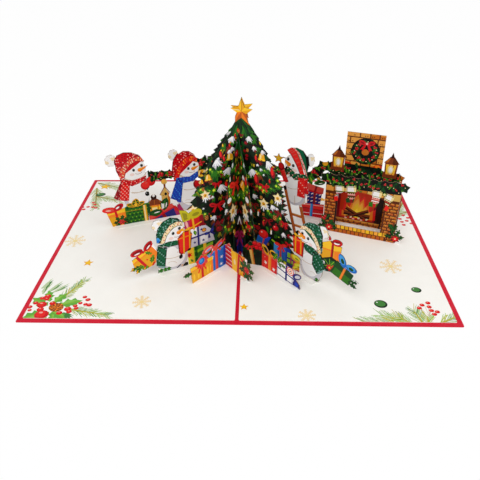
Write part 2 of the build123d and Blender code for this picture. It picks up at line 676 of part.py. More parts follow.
def gift_fence_right():
    return sheet(
        fence_right.stand(right_fence_shape()),
        trunk_run.stand(trunk_shape()),
        fold(trunk_run, fence_right, 0, 15.6),
        fence_right.tab(2.5, 37, depth=SHORT_TAB_DEPTH),
        trunk_run.tab(-12, -2.5, forward=False, depth=SHORT_TAB_DEPTH),
    )


def main():
    os.makedirs("parts", exist_ok=True)
    pieces = {
        "card_cover": card_cover(),
        "left_page": page(-1),
        "right_page": page(1),
        "tree_front": tree_front(),
        "tree_back": tree_back(),
        "tree_front_wings": wings(wing_left, wing_right, False),
        "tree_back_wings": wings(far_wing_left, far_wing_right, True),
        "back_scene": back_scene(),
        "ladder_snowman": ladder_snowman(),
        "fireplace_front": fireplace_front(),
        "gift_fence_left": gift_fence_left(),
        "gift_fence_right": gift_fence_right(),
    }
    for name, piece in pieces.items():
        export_step(piece, f"parts/{name}.step")


main()
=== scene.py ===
"""Prints and lights the pop-up Christmas card.

The card's sheets come from the packed model. This file draws their artwork as flat shapes in
millimetres, panel by panel, cuts it to each sheet's own outline and lays it on both faces. Then it adds
the paper finishes, a studio and a camera.
"""

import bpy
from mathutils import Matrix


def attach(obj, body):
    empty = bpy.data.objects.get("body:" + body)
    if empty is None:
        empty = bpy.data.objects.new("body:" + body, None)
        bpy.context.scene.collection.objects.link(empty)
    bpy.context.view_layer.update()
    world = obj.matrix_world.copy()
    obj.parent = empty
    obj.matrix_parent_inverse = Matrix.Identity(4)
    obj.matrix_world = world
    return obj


bl_info = {
    "name": "Pop-up Christmas card",
    "version": (1, 0, 0),
    "blender": (4, 5, 0),
    "location": "3D View > Sidebar > Card",
    "description": "Prints the sheets of a pop-up card and sets up its studio",
    "category": "Object",
}

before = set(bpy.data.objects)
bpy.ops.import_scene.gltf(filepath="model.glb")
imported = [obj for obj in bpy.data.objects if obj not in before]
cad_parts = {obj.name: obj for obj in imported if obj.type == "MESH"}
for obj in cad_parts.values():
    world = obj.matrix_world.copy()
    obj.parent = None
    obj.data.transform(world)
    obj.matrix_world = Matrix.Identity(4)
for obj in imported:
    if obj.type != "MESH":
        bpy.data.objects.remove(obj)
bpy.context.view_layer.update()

from math import atan2, cos, degrees, hypot, pi, radians, sin
from random import Random

import bpy
import numpy as np
from mathutils import Matrix, Vector
from mathutils.geometry import delaunay_2d_cdt

MM = 0.001
TAB_TOP = 1.36


# Settings


def ink(label, description, code):
    """A printing ink. Its code is the usual screen colour."""
    channels = [((code >> shift) & 255) / 255 for shift in (16, 8, 0)]
    linear = [c / 12.92 if c <= 0.04045 else ((c + 0.055) / 1.055) ** 2.4 for c in channels]
    return bpy.props.FloatVectorProperty(
        name=label, description=description, subtype="COLOR", size=3, min=0.0, max=1.0, default=linear
    )


class CardInks(bpy.types.PropertyGroup):
    """The inks of the artwork."""

    # Several inks paint light and shade: the cool grey and the warm shade on snow, the shaded red, olive and
    # bricks and the hearth's dark side are painted shade, and the lit noses, lit red, lit gold, lit bricks
    # and lit holly on the pages are painted highlights. Most of them also serve as plain colours.
    snow: ink("Snow", "Snowmen, pompoms and white paper", 0xF1EFEE)
    shade_grey: ink("Shade grey", "Cool shade on snow", 0xC9C6CE)
    warm_shade_and_line: ink("Warm shade and line", "Warm shade and drawn lines on snow", 0xCDB9A6)
    line: ink("Line", "Thin brown drawing lines", 0x8B6A55)
    coal: ink("Coal", "Eyes and buttons", 0x100E0E)
    blush: ink("Blush", "Cheeks", 0xEFD2CC)
    carrot: ink("Carrot", "Noses", 0xE9791B)
    apricot: ink("Apricot", "Lit side of the noses", 0xF6A93C)
    red: ink("Red", "Hats, berries and bows", 0xC8121A)
    scarlet: ink("Scarlet", "Lit red paper", 0xE3231D)
    wine: ink("Wine", "Shaded red", 0x860A16)
    coral: ink("Coral", "Coral ribbons and lids", 0xD8483F)
    pink: ink("Pink", "Pale knitting and pink paper", 0xE9A79A)
    magenta: ink("Magenta", "Magenta ribbons", 0xA81F58)
    orange: ink("Orange", "Orange paper and bands", 0xEE7F1D)
    gold: ink("Gold", "Golden paper", 0xE2A11B)
    yellow: ink("Yellow", "Lit golden paper", 0xF4C02A)
    cream: ink("Cream", "Bells, stars and lights", 0xEFD99A)
    lemon: ink("Lemon", "Small lights", 0xE6E43A)
    olive: ink("Olive", "Olive ribbon", 0xB9AE12)
    olive_shade: ink("Olive shade", "Shaded olive ribbon", 0x8D8410)
    lime: ink("Lime", "Lime paper and leaf veins", 0x8DBB22)
    leaf: ink("Leaf", "Bright leaves", 0x296C13)
    holly: ink("Holly", "Holly leaves and green paper", 0x0F4215)
    fir: ink("Fir", "Fir boughs", 0x07210B)
    night: ink("Night", "The dark between the boughs", 0x050905)
    teal: ink("Teal", "Scarf fringe and hat sparkle", 0x7FA39D)
    wool: ink("Wool", "Green hats and scarves", 0x0C5A3A)
    sky: ink("Sky", "Light blue", 0x3F97DA)
    blue: ink("Blue", "Blue paper", 0x1B67BE)
    royal: ink("Royal", "Blue scarf", 0x1F3FAE)
    navy: ink("Navy", "Navy ribbon and paper", 0x24206E)
    brick: ink("Brick", "Bricks", 0xBE6614)
    lit_brick: ink("Lit brick", "Lit bricks", 0xDA943C)
    joint_and_shade: ink("Joint and shade", "Joints and shaded bricks", 0x582508)
    flame: ink("Flame", "The fire's heart", 0xFFD83C)
    ember: ink("Ember", "The fire's glow", 0xCC2E0C)
    soot: ink("Soot", "The hearth's dark side", 0x2C0D07)
    wood: ink("Wood", "Lantern roofs, logs and cones", 0x7B3413)
    ladder: ink("Ladder", "The ladder's rails and rungs", 0xB7561C)
    trunk: ink("Trunk", "The tree's trunk and the birdhouse", 0xD3A653)
    page: ink("Page", "The pages", 0xF6F4EE)
    sprig: ink("Sprig", "Pale fir sprigs on the pages", 0xB9CBA0)
    twig: ink("Twig", "Olive twigs on the pages", 0xA9A548)
    flake: ink("Flake", "Snowflakes on the pages", 0xF0D9AE)
    pine: ink("Pine", "Dark needles and drops on the pages", 0x3E7A35)
    needle: ink("Needle", "Light needles on the pages", 0x9BB879)
    page_leaf: ink("Page leaf", "Holly on the pages", 0x5FA63A)
    lit_page_holly: ink("Lit page holly", "Lit holly on the pages", 0x86BE4F)


INKS = list(CardInks.__annotations__)


class CardStock(bpy.types.PropertyGroup):
    """Paper and board."""

    cover: ink("Cover", "Dyed board of the cover", 0xCB142E)
    core: ink("Core", "Glue tabs on the pages", 0xF4F1EA)
    fir_edge: ink("Fir edge", "Cut edges of the tree's sheets", 0x27402A)
    warm_edge: ink("Warm edge", "Cut edges of the scene, the fireplace and the gifts", 0x9A7A62)
    lift: bpy.props.FloatProperty(
        name="Print lift", description="Height of the print above the card", default=0.02 * MM,
        subtype="DISTANCE"
    )
    grain: bpy.props.FloatProperty(
        name="Grain", description="Height of the paper's grain", default=0.02 * MM, subtype="DISTANCE"
    )
    grain_size: bpy.props.FloatProperty(
        name="Grain size", description="Width of the paper's grain", default=0.35 * MM, subtype="DISTANCE"
    )
    mottle: bpy.props.FloatProperty(
        name="Mottle", description="How unevenly the ink lies", default=0.10, subtype="FACTOR", min=0.0,
        max=1.0
    )
    gloss: bpy.props.FloatProperty(
        name="Roughness", description="Roughness of the printed card", default=0.42, subtype="FACTOR",
        min=0.0, max=1.0
    )


class CardStudio(bpy.types.PropertyGroup):
    """Camera and light."""

    place: bpy.props.FloatVectorProperty(
        name="Camera", description="Where the camera stands", default=(0.01286, -0.33445, 0.2366),
        subtype="TRANSLATION"
    )
    pitch: bpy.props.FloatProperty(
        name="Pitch", description="How far the camera looks down", default=radians(35.43), subtype="ANGLE"
    )
    yaw: bpy.props.FloatProperty(
        name="Yaw", description="How far the camera turns to the left", default=radians(2.32), subtype="ANGLE"
    )
    roll: bpy.props.FloatProperty(
        name="Roll", description="How far the camera leans", default=radians(1.04), subtype="ANGLE"
    )
    lens: bpy.props.FloatProperty(name="Lens", description="Focal length in millimetres", default=36.91)
    key: bpy.props.FloatProperty(
        name="Key", description="Power of the large soft lamp", default=4.6, unit="POWER"
    )
    fill: bpy.props.FloatProperty(
        name="Fill", description="Power of the lamp at the other side", default=2.2, unit="POWER"
    )
    sky: bpy.props.FloatProperty(name="Sky", description="Strength of the room's light", default=0.6)
    floor: ink("Floor", "The table", 0xF7F7F7)


SETTINGS = {"card_inks": CardInks, "card_stock": CardStock, "card_studio": CardStudio}


# Materials


class Sock:
    """An output socket that can be worked with like a number."""

    def __init__(self, tree, out):
        self.tree = tree
        self.out = out

    def math(self, operation, other, swap=False):
        pair = (other, self) if swap else (self, other)
        return self.tree.node("Math", {"operation": operation}, {0: pair[0], 1: pair[1]})["Value"]

    def __add__(self, other):
        return self.math("ADD", other)

    def __mul__(self, other):
        return self.math("MULTIPLY", other)

    def __sub__(self, other):
        return self.math("SUBTRACT", other)

    def __rsub__(self, other):
        return self.math("SUBTRACT", other, swap=True)

    __radd__ = __add__


class Made:
    """A node's outputs by name."""

    def __init__(self, tree, node):
        self.tree = tree
        self.node = node

    def __getitem__(self, name):
        return Sock(self.tree, self.node.outputs[name])

    def result(self):
        """The colour output of a mix node, whose outputs share one name."""
        return Sock(self.tree, self.node.outputs[2])


class Tree:
    """The nodes of one material."""

    def __init__(self, owner):
        owner.use_nodes = True
        self.nodes = owner.node_tree.nodes
        self.links = owner.node_tree.links
        self.nodes.clear()

    def node(self, kind, settings=None, sockets=None):
        made = self.nodes.new("ShaderNode" + kind)
        for name, value in (settings or {}).items():
            setattr(made, name, value)
        for name, value in (sockets or {}).items():
            if isinstance(value, Sock):
                self.links.new(value.out, made.inputs[name])
            else:
                made.inputs[name].default_value = value
        return Made(self, made)

    def place(self):
        return self.node("TexCoord")["Object"]

    def noise(self, size, detail=3.0, roughness=0.5):
        """Noise from 0 to 1 whose features are about size across."""
        sockets = {"Vector": self.place(), "Scale": 1 / size, "Detail": detail, "Roughness": roughness}
        return self.node("TexNoise", {}, sockets)["Fac"]

    def tint(self, colour, amount, factor):
        """The colour, with value and saturation pushed up and down by the factor around a half."""
        sockets = {
            "Color": colour, "Value": 1 + (factor - 0.5) * amount, "Saturation": 1 - (factor - 0.5) * amount
        }
        return self.node("HueSaturation", {}, sockets)["Color"]


def finish_surface(tree, sockets, bump, depth):
    raised = tree.node("Bump", {}, {"Height": bump, "Distance": depth, "Strength": 1.0})
    shader = tree.node("BsdfPrincipled", {}, {**sockets, "Normal": raised["Normal"]})
    tree.node("OutputMaterial", {}, {"Surface": shader["BSDF"]})


def paper_like(name, colour, roughness, stock, specular=0.5, depth=1.0, foot=None):
    """Paper or board: fibrous grain, cloudy colour, uneven gloss. With no colour it shows the printed ink.

    A foot is the colour of the glue tabs, which lie on the page.
    """
    material = bpy.data.materials.new(name)
    tree = Tree(material)
    grain = tree.noise(stock.grain_size, 4.0, 0.65)
    cloud = tree.noise(14 * MM, 3.0)
    if colour is None:
        base = tree.node("Attribute", {"attribute_name": "ink"})["Color"]
    else:
        base = rgb(tree, colour)
    if foot is not None:
        height = tree.node("SeparateXYZ", {}, {0: tree.place()})["Z"]
        above = (height * (1 / MM)).math("GREATER_THAN", TAB_TOP)
        base = tree.node(
            "Mix", {"data_type": "RGBA"}, {0: above, 6: rgb(tree, foot), 7: base}
        ).result()
    tinted = tree.tint(tree.tint(base, stock.mottle, grain), 0.6 * stock.mottle, cloud)
    sockets = {
        "Base Color": tinted,
        "Roughness": roughness + (cloud - 0.5) * 0.16 + (grain - 0.5) * 0.12,
        "Specular IOR Level": specular,
    }
    finish_surface(tree, sockets, grain, depth * stock.grain)
    return material


def rgb(tree, colour):
    made = tree.node("RGB")
    made.node.outputs[0].default_value = (*colour, 1.0)
    return made["Color"]


# Drawing


class Pen:
    """Draws flat shapes, the later over the earlier. A shape is an ink and an outline, in millimetres."""

    def __init__(self, shapes=None, frame_of=None):
        self.shapes = [] if shapes is None else shapes
        self.frame = Matrix.Identity(3) if frame_of is None else frame_of

    def at(self, x, y, size=1.0, tilt=0.0, flip=1):
        """A pen for the same drawing with its own origin, size and tilt. A flip of -1 mirrors it."""
        turn = radians(tilt)
        step = Matrix(
            (
                (size * flip * cos(turn), -size * sin(turn), x),
                (size * flip * sin(turn), size * cos(turn), y),
                (0, 0, 1),
            )
        )
        return Pen(self.shapes, self.frame @ step)

    def face(self, tone, *points):
        outline = []
        for x, y in points:
            spot = self.frame @ Vector((x, y, 1))
            outline.append((spot.x, spot.y))
        area = sum(a[0] * b[1] - b[0] * a[1] for a, b in zip(outline, outline[1:] + outline[:1]))
        if area < 0:
            outline.reverse()
        self.shapes.append((tone, outline))

    def box(self, tone, x0, y0, x1, y1):
        self.face(tone, (x0, y0), (x1, y0), (x1, y1), (x0, y1))

    def oval(self, tone, x, y, rx, ry, tilt=0.0, sides=18):
        c, s = cos(radians(tilt)), sin(radians(tilt))
        ring = []
        for i in range(sides):
            a, b = rx * cos(2 * pi * i / sides), ry * sin(2 * pi * i / sides)
            ring.append((x + a * c - b * s, y + a * s + b * c))
        self.face(tone, *ring)

    def dot(self, tone, x, y, radius, sides=18):
        self.oval(tone, x, y, radius, radius, 0, sides)

    def line(self, tone, width, *points):
        """A stroke with rounded joints."""
        for (x0, y0), (x1, y1) in zip(points, points[1:]):
            run = max(hypot(x1 - x0, y1 - y0), 1e-6)
            dx, dy = (y1 - y0) * width / 2 / run, (x0 - x1) * width / 2 / run
            self.face(tone, (x0 + dx, y0 + dy), (x1 + dx, y1 + dy), (x1 - dx, y1 - dy), (x0 - dx, y0 - dy))
        for x, y in points[1:-1]:
            self.dot(tone, x, y, width / 2, 6)

    def arc(self, tone, width, x, y, radius, start, end, squash=1.0, steps=6):
        """A stroke along part of an oval."""
        turns = [radians(start + (end - start) * i / steps) for i in range(steps + 1)]
        self.line(tone, width, *[(x + radius * cos(t), y + squash * radius * sin(t)) for t in turns])

    def star(self, tone, x, y, radius, points=5, notch=0.45, turn=90.0):
        ring = []
        for i in range(2 * points):
            reach = radius if i % 2 == 0 else notch * radius
            angle = radians(turn + 180 * i / points)
            ring.append((x + reach * cos(angle), y + reach * sin(angle)))
        self.face(tone, *ring)


# Motifs

NEEDLES = (0.84, 1, 0.78, 0.94, 0.7, 0.9)
BOUGH_INKS = ((0.48, "night"), (0.8, "fir"), (0.96, "holly"), (2, "leaf"))
BOUGH_ROW = 3.1
BOUGH_PITCH = 3.8
NEEDLE_PITCH = 0.7


def several(draw, *shapes):
    """Draws several shapes in the same way."""
    for shape in shapes:
        draw(*shape)


def leaf(pen, x, y, length, heading, tone="holly", vein="lime"):
    """A spiky holly leaf from its stalk."""
    p = pen.at(x, y, length, heading)
    edge = [(0, 0), (0.16, 0.16), (0.27, 0.09), (0.44, 0.29), (0.54, 0.15), (0.72, 0.25), (0.8, 0.1), (1, 0)]
    p.face(tone, *edge, *[(a, -b) for a, b in reversed(edge[1:-1])])
    if vein:
        p.line(vein, 0.05, (0.05, 0), (0.85, 0))


def plain_leaf(pen, x, y, length, heading, tone, shine, width=0.3):
    p = pen.at(x, y, length, heading)
    p.face(
        tone, (0, 0), (0.25, width * 0.8), (0.5, width), (0.8, width * 0.6), (1, 0), (0.75, -width * 0.5),
        (0.4, -width * 0.7), (0.15, -width * 0.4),
    )
    p.face(shine, (0.12, 0.02), (0.45, width * 0.5), (0.85, 0.06), (0.5, 0))


def berries(pen, x, y, radius, count=3):
    """A loose cluster of berries, turned its own way at each place."""
    for i in range(count):
        turn = radians(47 * x + 31 * y + 360 * i / count + 24 * sin(x + 2 * i))
        bx, by = x + 1.08 * radius * cos(turn), y + 1.08 * radius * sin(turn)
        # Each berry has a dark rim of painted shade and a pink painted highlight at its upper left.
        pen.dot("wine", bx, by, 1.15 * radius, 8)
        pen.dot("red", bx - 0.1 * radius, by + 0.12 * radius, 0.84 * radius, 8)
        pen.dot("pink", bx - 0.34 * radius, by + 0.4 * radius, 0.2 * radius, 4)


def holly(pen, x, y, size):
    for turn in (-62, 62, 0):
        leaf(pen, x, y, size, 90 + turn, "holly" if turn else "leaf")
    berries(pen, x, y, 0.17 * size)


def bow(pen, x, y, size, tone="red", shade="wine", tilt=0, tails=True):
    """Two loops, a knot and two tails. The size is its half width."""
    p = pen.at(x, y, size, tilt)
    for side in (-1, 1):
        if tails:
            p.face(
                tone, (0, 0), (0.3 * side, -0.1), (0.8 * side, -0.85), (0.55 * side, -0.8),
                (0.42 * side, -1.05),
            )
        p.oval(tone, 0.56 * side, 0.16, 0.5, 0.3, 22 * side, 12)
        p.oval(shade, 0.6 * side, 0.14, 0.27, 0.11, 22 * side, 8)
    p.dot(tone, 0, 0.03, 0.2, 8)
    p.dot(shade, 0.04, -0.02, 0.08, 5)


def loops(pen, places, *layers):
    """Loops of ribbon. A layer is an ink, its shift, its share of the loop's size, and its sides."""
    # The later layers paint shade and highlights inside each loop.
    for x, y, rx, ry, tilt in places:
        for name, dx, dy, wide, tall, sides in layers:
            pen.oval(name, x + dx, y + dy, wide * rx, tall * ry, tilt, sides)


def bauble(pen, x, y, radius, tone="red", shade="wine", shine="pink"):
    pen.dot(shade, x, y, radius, 14)
    pen.dot(tone, x - 0.12 * radius, y + 0.12 * radius, 0.78 * radius, 12)
    pen.dot(shine, x - 0.36 * radius, y + 0.4 * radius, 0.2 * radius, 6)


def bell(pen, x, y, size, tilt=0):
    """A gold bell with a snowy rim."""
    p = pen.at(x, y, size, tilt)
    p.face("gold", (-0.55, -0.5), (-0.42, 0.25), (-0.2, 0.55), (0.2, 0.55), (0.42, 0.25), (0.55, -0.5))
    # The cream patch down the bell's left side is a painted highlight.
    p.face("cream", (-0.35, -0.45), (-0.28, 0.2), (-0.08, 0.45), (-0.02, 0.4), (-0.1, -0.45))
    p.oval("yellow", 0, -0.52, 0.64, 0.16, 0, 10)
    p.dot("wood", 0, -0.68, 0.14, 6)


def fan(pen, x, y, size, heading, tone, count, spread, slim=0.42):
    """A fan of needles that hangs from a bough: fir, or fir with snow on it."""
    ring = [(-0.06, 0.1), (-0.06, -0.1)]
    step = spread / (count - 1)
    for i in range(count):
        turn = radians(i * step - spread / 2)
        reach = NEEDLES[i % len(NEEDLES)]
        if i:
            gap = turn - radians(step / 2)
            ring.append((slim * cos(gap), slim * sin(gap)))
        ring.append((reach * cos(turn - 0.05), reach * sin(turn - 0.05)))
        ring.append((reach * cos(turn + 0.05), reach * sin(turn + 0.05)))
    pen.at(x, y, size, heading).face(tone, *ring)


def snow_tuft(pen, x, y, size):
    """Snow on a fan of needles: long fingers that lean away from the fold, over a cool shade."""
    lean = 22 * sin(2.7 * x + 1.3 * y) + (16 if x > 0 else -16)
    fan(pen, x + 0.12 * size, y + 0.4 * size, 1.12 * size, lean - 84, "shade_grey", 5, 88, 0.42)
    fan(pen, x, y + 0.44 * size, 0.98 * size, lean - 96, "snow", 4, 66, 0.36)


def white_flower(pen, x, y, size, tilt=0):
    """A creamy flower with a gold heart, whose lower petals run out into snow."""
    # Painted shade under the snowy petals.
    fan(pen, x, y, 1.35 * size, tilt - 64, "shade_grey", 5, 96)
    fan(pen, x, y, 1.25 * size, tilt - 70, "snow", 5, 84)
    pen.star("cream", x, y + 0.1 * size, 0.9 * size, 5, 0.5, tilt + 90)
    pen.star("flake", x, y + 0.1 * size, 0.66 * size, 5, 0.5, tilt + 70)
    pen.dot("gold", x, y, 0.3 * size, 8)
    pen.dot("wood", x + 0.05 * size, y - 0.1 * size, 0.13 * size, 6)


def capped_cone(pen, x, y, size):
    """A pine cone under a cap of snow."""
    pen.oval("wood", x, y, 0.5 * size, 0.6 * size, 0, 10)
    pen.oval("snow", x - 0.08 * size, y + 0.24 * size, 0.52 * size, 0.4 * size, 0, 10)
    pen.oval("brick", x + 0.1 * size, y - 0.28 * size, 0.24 * size, 0.14 * size, 0, 6)


def pine_cone(pen, x, y, size, tilt=0):
    p = pen.at(x, y, size, tilt)
    p.oval("wood", 0, 0, 0.42, 0.62, 0, 12)
    for row in range(4):
        for side in (-1, 0, 1):
            p.oval("trunk" if (row + side) % 2 else "brick", 0.24 * side, 0.36 - 0.24 * row, 0.13, 0.07, 0, 6)


def candle(pen, x, y, size):
    pen.box("snow", x - 0.14 * size, y - 0.5 * size, x + 0.14 * size, y + 0.35 * size)
    pen.box("cream", x - 0.14 * size, y - 0.5 * size, x - 0.04 * size, y + 0.35 * size)
    pen.face(
        "orange", (x - 0.14 * size, y + 0.4 * size), (x, y + 0.9 * size), (x + 0.14 * size, y + 0.4 * size)
    )


def garland(pen, route, half_width, seed):
    """Fir twigs, holly leaves, berries and lights along a route."""
    chance = Random(seed)
    runs = []
    for (x0, y0), (x1, y1) in zip(route, route[1:]):
        pen.line("night", 3.2 * half_width, (x0, y0), (x1, y1))
        runs.append((x0, y0, x1 - x0, y1 - y0, hypot(x1 - x0, y1 - y0)))
    for inks, spread, length, pitch in (
        (("fir", "holly"), 0.6, 1.35, 1.3), (("holly", "leaf", "fir", "leaf"), 0.42, 1.05, 1.5)
    ):
        for x0, y0, dx, dy, run in runs:
            for i in range(max(2, round(run / pitch))):
                share = (i + chance.random()) * pitch / run
                off = chance.uniform(-spread, spread) * half_width * 1.6 / run
                turn = degrees(atan2(dy, dx)) + chance.choice((-1, 1)) * chance.uniform(25, 110)
                name = chance.choice(inks)
                spot = (x0 + dx * share - dy * off, y0 + dy * share + dx * off)
                leaf(pen, *spot, length * half_width, turn, name, "lime" if name == "leaf" else None)
    for x0, y0, dx, dy, run in runs:
        steps = max(1, round(run / 3.9))
        for i in range(steps):
            share = (i + 0.5 + chance.uniform(-0.4, 0.4)) / steps
            px, py = x0 + dx * share, y0 + dy * share + chance.uniform(-0.7, 0.7) * half_width
            berries(pen, px, py, 0.155 * half_width, 2 + i % 3)
            pen.dot("cream", px + 0.6 * half_width, py - 0.5 * half_width, 0.11 * half_width, 6)


def gift(pen, width, height, paper, shade, ribbon):
    """A dotted parcel with a lid, standing on the pen's origin, from x 0 to its width."""
    lid, pitch = 2.6, 4.2
    pen.box(paper, 0, 0, width, height)
    pen.face(shade, (0.62 * width, 0), (width, 0), (width, height), (0.74 * width, height))
    rows, columns = int(height / pitch), int(width / pitch)
    for row in range(rows):
        for column in range(columns):
            x = (column + 0.5 + 0.25 * (row % 2)) * width / (columns + 0.25)
            pen.dot("cream", x, (row + 0.5) * height / rows, 0.15 * pitch, 7)
    pen.box(shade, -0.02 * width, height - lid - 0.6, 1.02 * width, height - lid)
    pen.box(paper, -0.03 * width, height - lid, 1.03 * width, height)
    half = 0.055 * width + 0.35
    pen.box(ribbon, 0.5 * width - half, 0, 0.5 * width + half, height)


def lantern(pen, x):
    """A lantern on the mantel: glowing panes under a pointed roof."""
    pen.box("wood", x - 5.4, 49, x + 5.4, 62)
    for left, right in ((-3.8, -1.5), (-1.1, 1.8), (2.2, 4)):
        pen.face(
            "apricot", (x + 0.85 * left, 52), (x + 0.85 * right, 52), (x + right, 60.8), (x + left, 60.8)
        )
        pen.face(
            "yellow", (x + 0.85 * left, 53.4), (x + 0.8 * right, 53.4), (x + 0.9 * right, 60),
            (x + left, 60),
        )
    pen.oval("cream", x, 56.4, 2.3, 3.6, 0, 12)
    pen.oval("snow", x + 0.2, 56.2, 1.2, 2.4, 0, 10)
    pen.face(
        "wood", (x - 6.4, 60.6), (x - 6.2, 62.2), (x - 2.2, 67), (x + 2.2, 67), (x + 6.2, 62.2),
        (x + 6.4, 60.6),
    )
    # Painted shade on the roof's right side and a painted highlight on its left.
    pen.face("joint_and_shade", (x + 0.8, 61), (x + 1.2, 67), (x + 2.2, 67), (x + 6.2, 62.2), (x + 6.2, 61))
    pen.face("brick", (x - 4.6, 62.2), (x - 2, 65.8), (x - 1, 65.8), (x - 2.6, 62.2))
    pen.face("soot", (x - 2, 66.2), (x - 1.6, 68), (x, 72), (x + 1.6, 68), (x + 2, 66.2))


def bricks(pen, x0, y0, x1, y1, course, length, seed, tones=("brick", "ladder", "brick")):
    """Courses of uneven stone bricks over a rectangle."""
    chance = Random(seed)
    pen.box("joint_and_shade", x0, y0, x1, y1)
    rows = max(1, round((y1 - y0) / course))
    tall = (y1 - y0) / rows
    for row in range(rows):
        low = y0 + row * tall
        x = x0 - (row % 2) * 0.5 * length
        while x < x1:
            wide = length * chance.uniform(0.72, 1.15)
            a, b = max(x0, x) + 0.45, min(x1, x + wide) - 0.45
            if b - a > 0.8:
                pen.box(chance.choice(tones), a, low + 0.45, b, low + tall - 0.45)
                # A painted highlight along the upper part of each brick.
                pen.box(
                    "lit_brick", a + 0.2, low + 0.62 * tall, b - 0.5 * length * chance.random(),
                    low + 0.82 * tall,
                )
                for _ in range(2):
                    spot = chance.uniform(a, b - 0.6)
                    pen.box("joint_and_shade", spot, low + 0.22 * tall, spot + 0.7, low + 0.38 * tall)
            x += wide


# Snowmen


def snowman_body(pen, x, y, rx, ry, side):
    """A snow body, lit from the side it faces."""
    pen.oval("warm_shade_and_line", x, y, rx + 1.2, ry + 1.2, 0, 26)
    pen.oval("shade_grey", x + 0.3 * side, y + 0.2, rx + 0.4, ry + 0.6, 0, 26)
    pen.oval("snow", x + 0.12 * rx * side, y + 0.1 * ry, 0.82 * rx, 0.84 * ry, 0, 24)
    pen.arc("warm_shade_and_line", 0.5, x + 0.05 * rx * side, y + 0.36 * ry, 0.42 * rx, 200, 340, 0.4)
    pen.arc("warm_shade_and_line", 0.3, x - 0.1 * rx * side, y - 0.62 * ry, 0.4 * rx, 20, 120, 0.9)


def snowman_face(pen, centre, radii, eyes, nose, side):
    """A face of snow: two coal eyes, a carrot from its root to its tip, a smile and a cheek."""
    x, y = centre
    # A rim of painted warm shade, with the snow set off towards the side the face turns to.
    pen.oval("warm_shade_and_line", x, y, radii[0] + 0.6, radii[1] + 0.6, 0, 24)
    pen.oval("snow", x + 0.5 * side, y + 0.4, radii[0] - 0.3, radii[1] - 0.5, 0, 24)
    (root_x, root_y), (tip_x, tip_y) = nose
    pen.oval("blush", x - 0.1 * radii[0] * side, y - 0.4 * radii[1], 1.9, 1.3, 0, 12)
    start = 215 if side > 0 else 195
    pen.arc("wood", 0.34, root_x - 1.2 * side, root_y - 1.6, 2.9, start, start + 130, 0.62)
    for ex, ey in eyes:
        pen.oval("coal", ex, ey, 1.12, 1.36, 0, 12)
        # A painted glint in each eye.
        pen.dot("snow", ex - 0.35, ey + 0.5, 0.24, 5)
    run = hypot(tip_x - root_x, tip_y - root_y)
    p = pen.at(root_x, root_y, 1, degrees(atan2(tip_y - root_y, tip_x - root_x)))
    p.face("carrot", (0, -1.8), (-1.3, -0.8), (-1.3, 0.8), (0, 1.8), (run, 0.2), (run, -0.2))
    # A painted highlight on the nose's upper side.
    p.face("apricot", (-0.6, 0.5), (0.1, 1.4), (run - 0.8, 0.1), (0.4, 0.2))


def pompom_print(pen, x, y, rx, ry):
    pen.oval("warm_shade_and_line", x, y, rx + 1, ry + 1, 0, 18)
    for i in range(18):
        turn = 2.4 * i
        reach = 0.84 * (1 - i / 18) ** 0.5
        name = "snow" if i % 4 else "flake"
        pen.oval(
            name, x + reach * rx * cos(turn), y + 0.3 + reach * ry * sin(turn), 0.36 * rx, 0.3 * ry, 0, 8
        )


def along(points, share):
    """The place a share of the way along a run of points."""
    spot = share * (len(points) - 1)
    i = min(int(spot), len(points) - 2)
    (x0, y0), (x1, y1) = points[i], points[i + 1]
    return x0 + (x1 - x0) * (spot - i), y0 + (y1 - y0) * (spot - i)


def knit_hat(pen, crown, brim_outer, brim_inner, base, shade, sparkle, brim, marks, seed):
    """A knitted hat. The brim lies between two lines that run the same way."""
    chance = Random(seed)
    pen.face(shade, *crown, *reversed(brim_inner))
    xs, ys = [x for x, _ in crown], [y for _, y in crown]
    middle = (sum(xs) / len(xs), sum(ys) / len(ys))
    pen.face(
        base, *[(middle[0] + 0.86 * (x - middle[0]), middle[1] + 0.86 * (y - middle[1])) for x, y in crown]
    )
    for row in range(5):
        for i in range(13):
            share = (i + 0.5 * (row % 2) + 0.3) / 13.4
            ox, oy = along(crown, share)
            ix, iy = along(brim_outer, share)
            mix = 0.1 + 0.19 * row
            x, y = ox + (ix - ox) * mix, oy + (iy - oy) * mix
            pen.oval(sparkle if chance.random() < 0.45 else shade, x, y, 0.5, 0.62, 30, 6)
    pen.face(brim, *brim_outer, *reversed(brim_inner))
    for i in range(15):
        a, b = Vector(along(brim_outer, (i + 0.5) / 15)), Vector(along(brim_inner, (i + 0.5) / 15))
        for low, high in ((0.14, 0.42), (0.5, 0.86)):
            pen.line(marks[(i + (low > 0.3)) % len(marks)], 0.66, a.lerp(b, low), a.lerp(b, high))
    pen.line(shade, 0.42, *brim_outer)
    pen.line(shade, 0.36, *brim_inner)


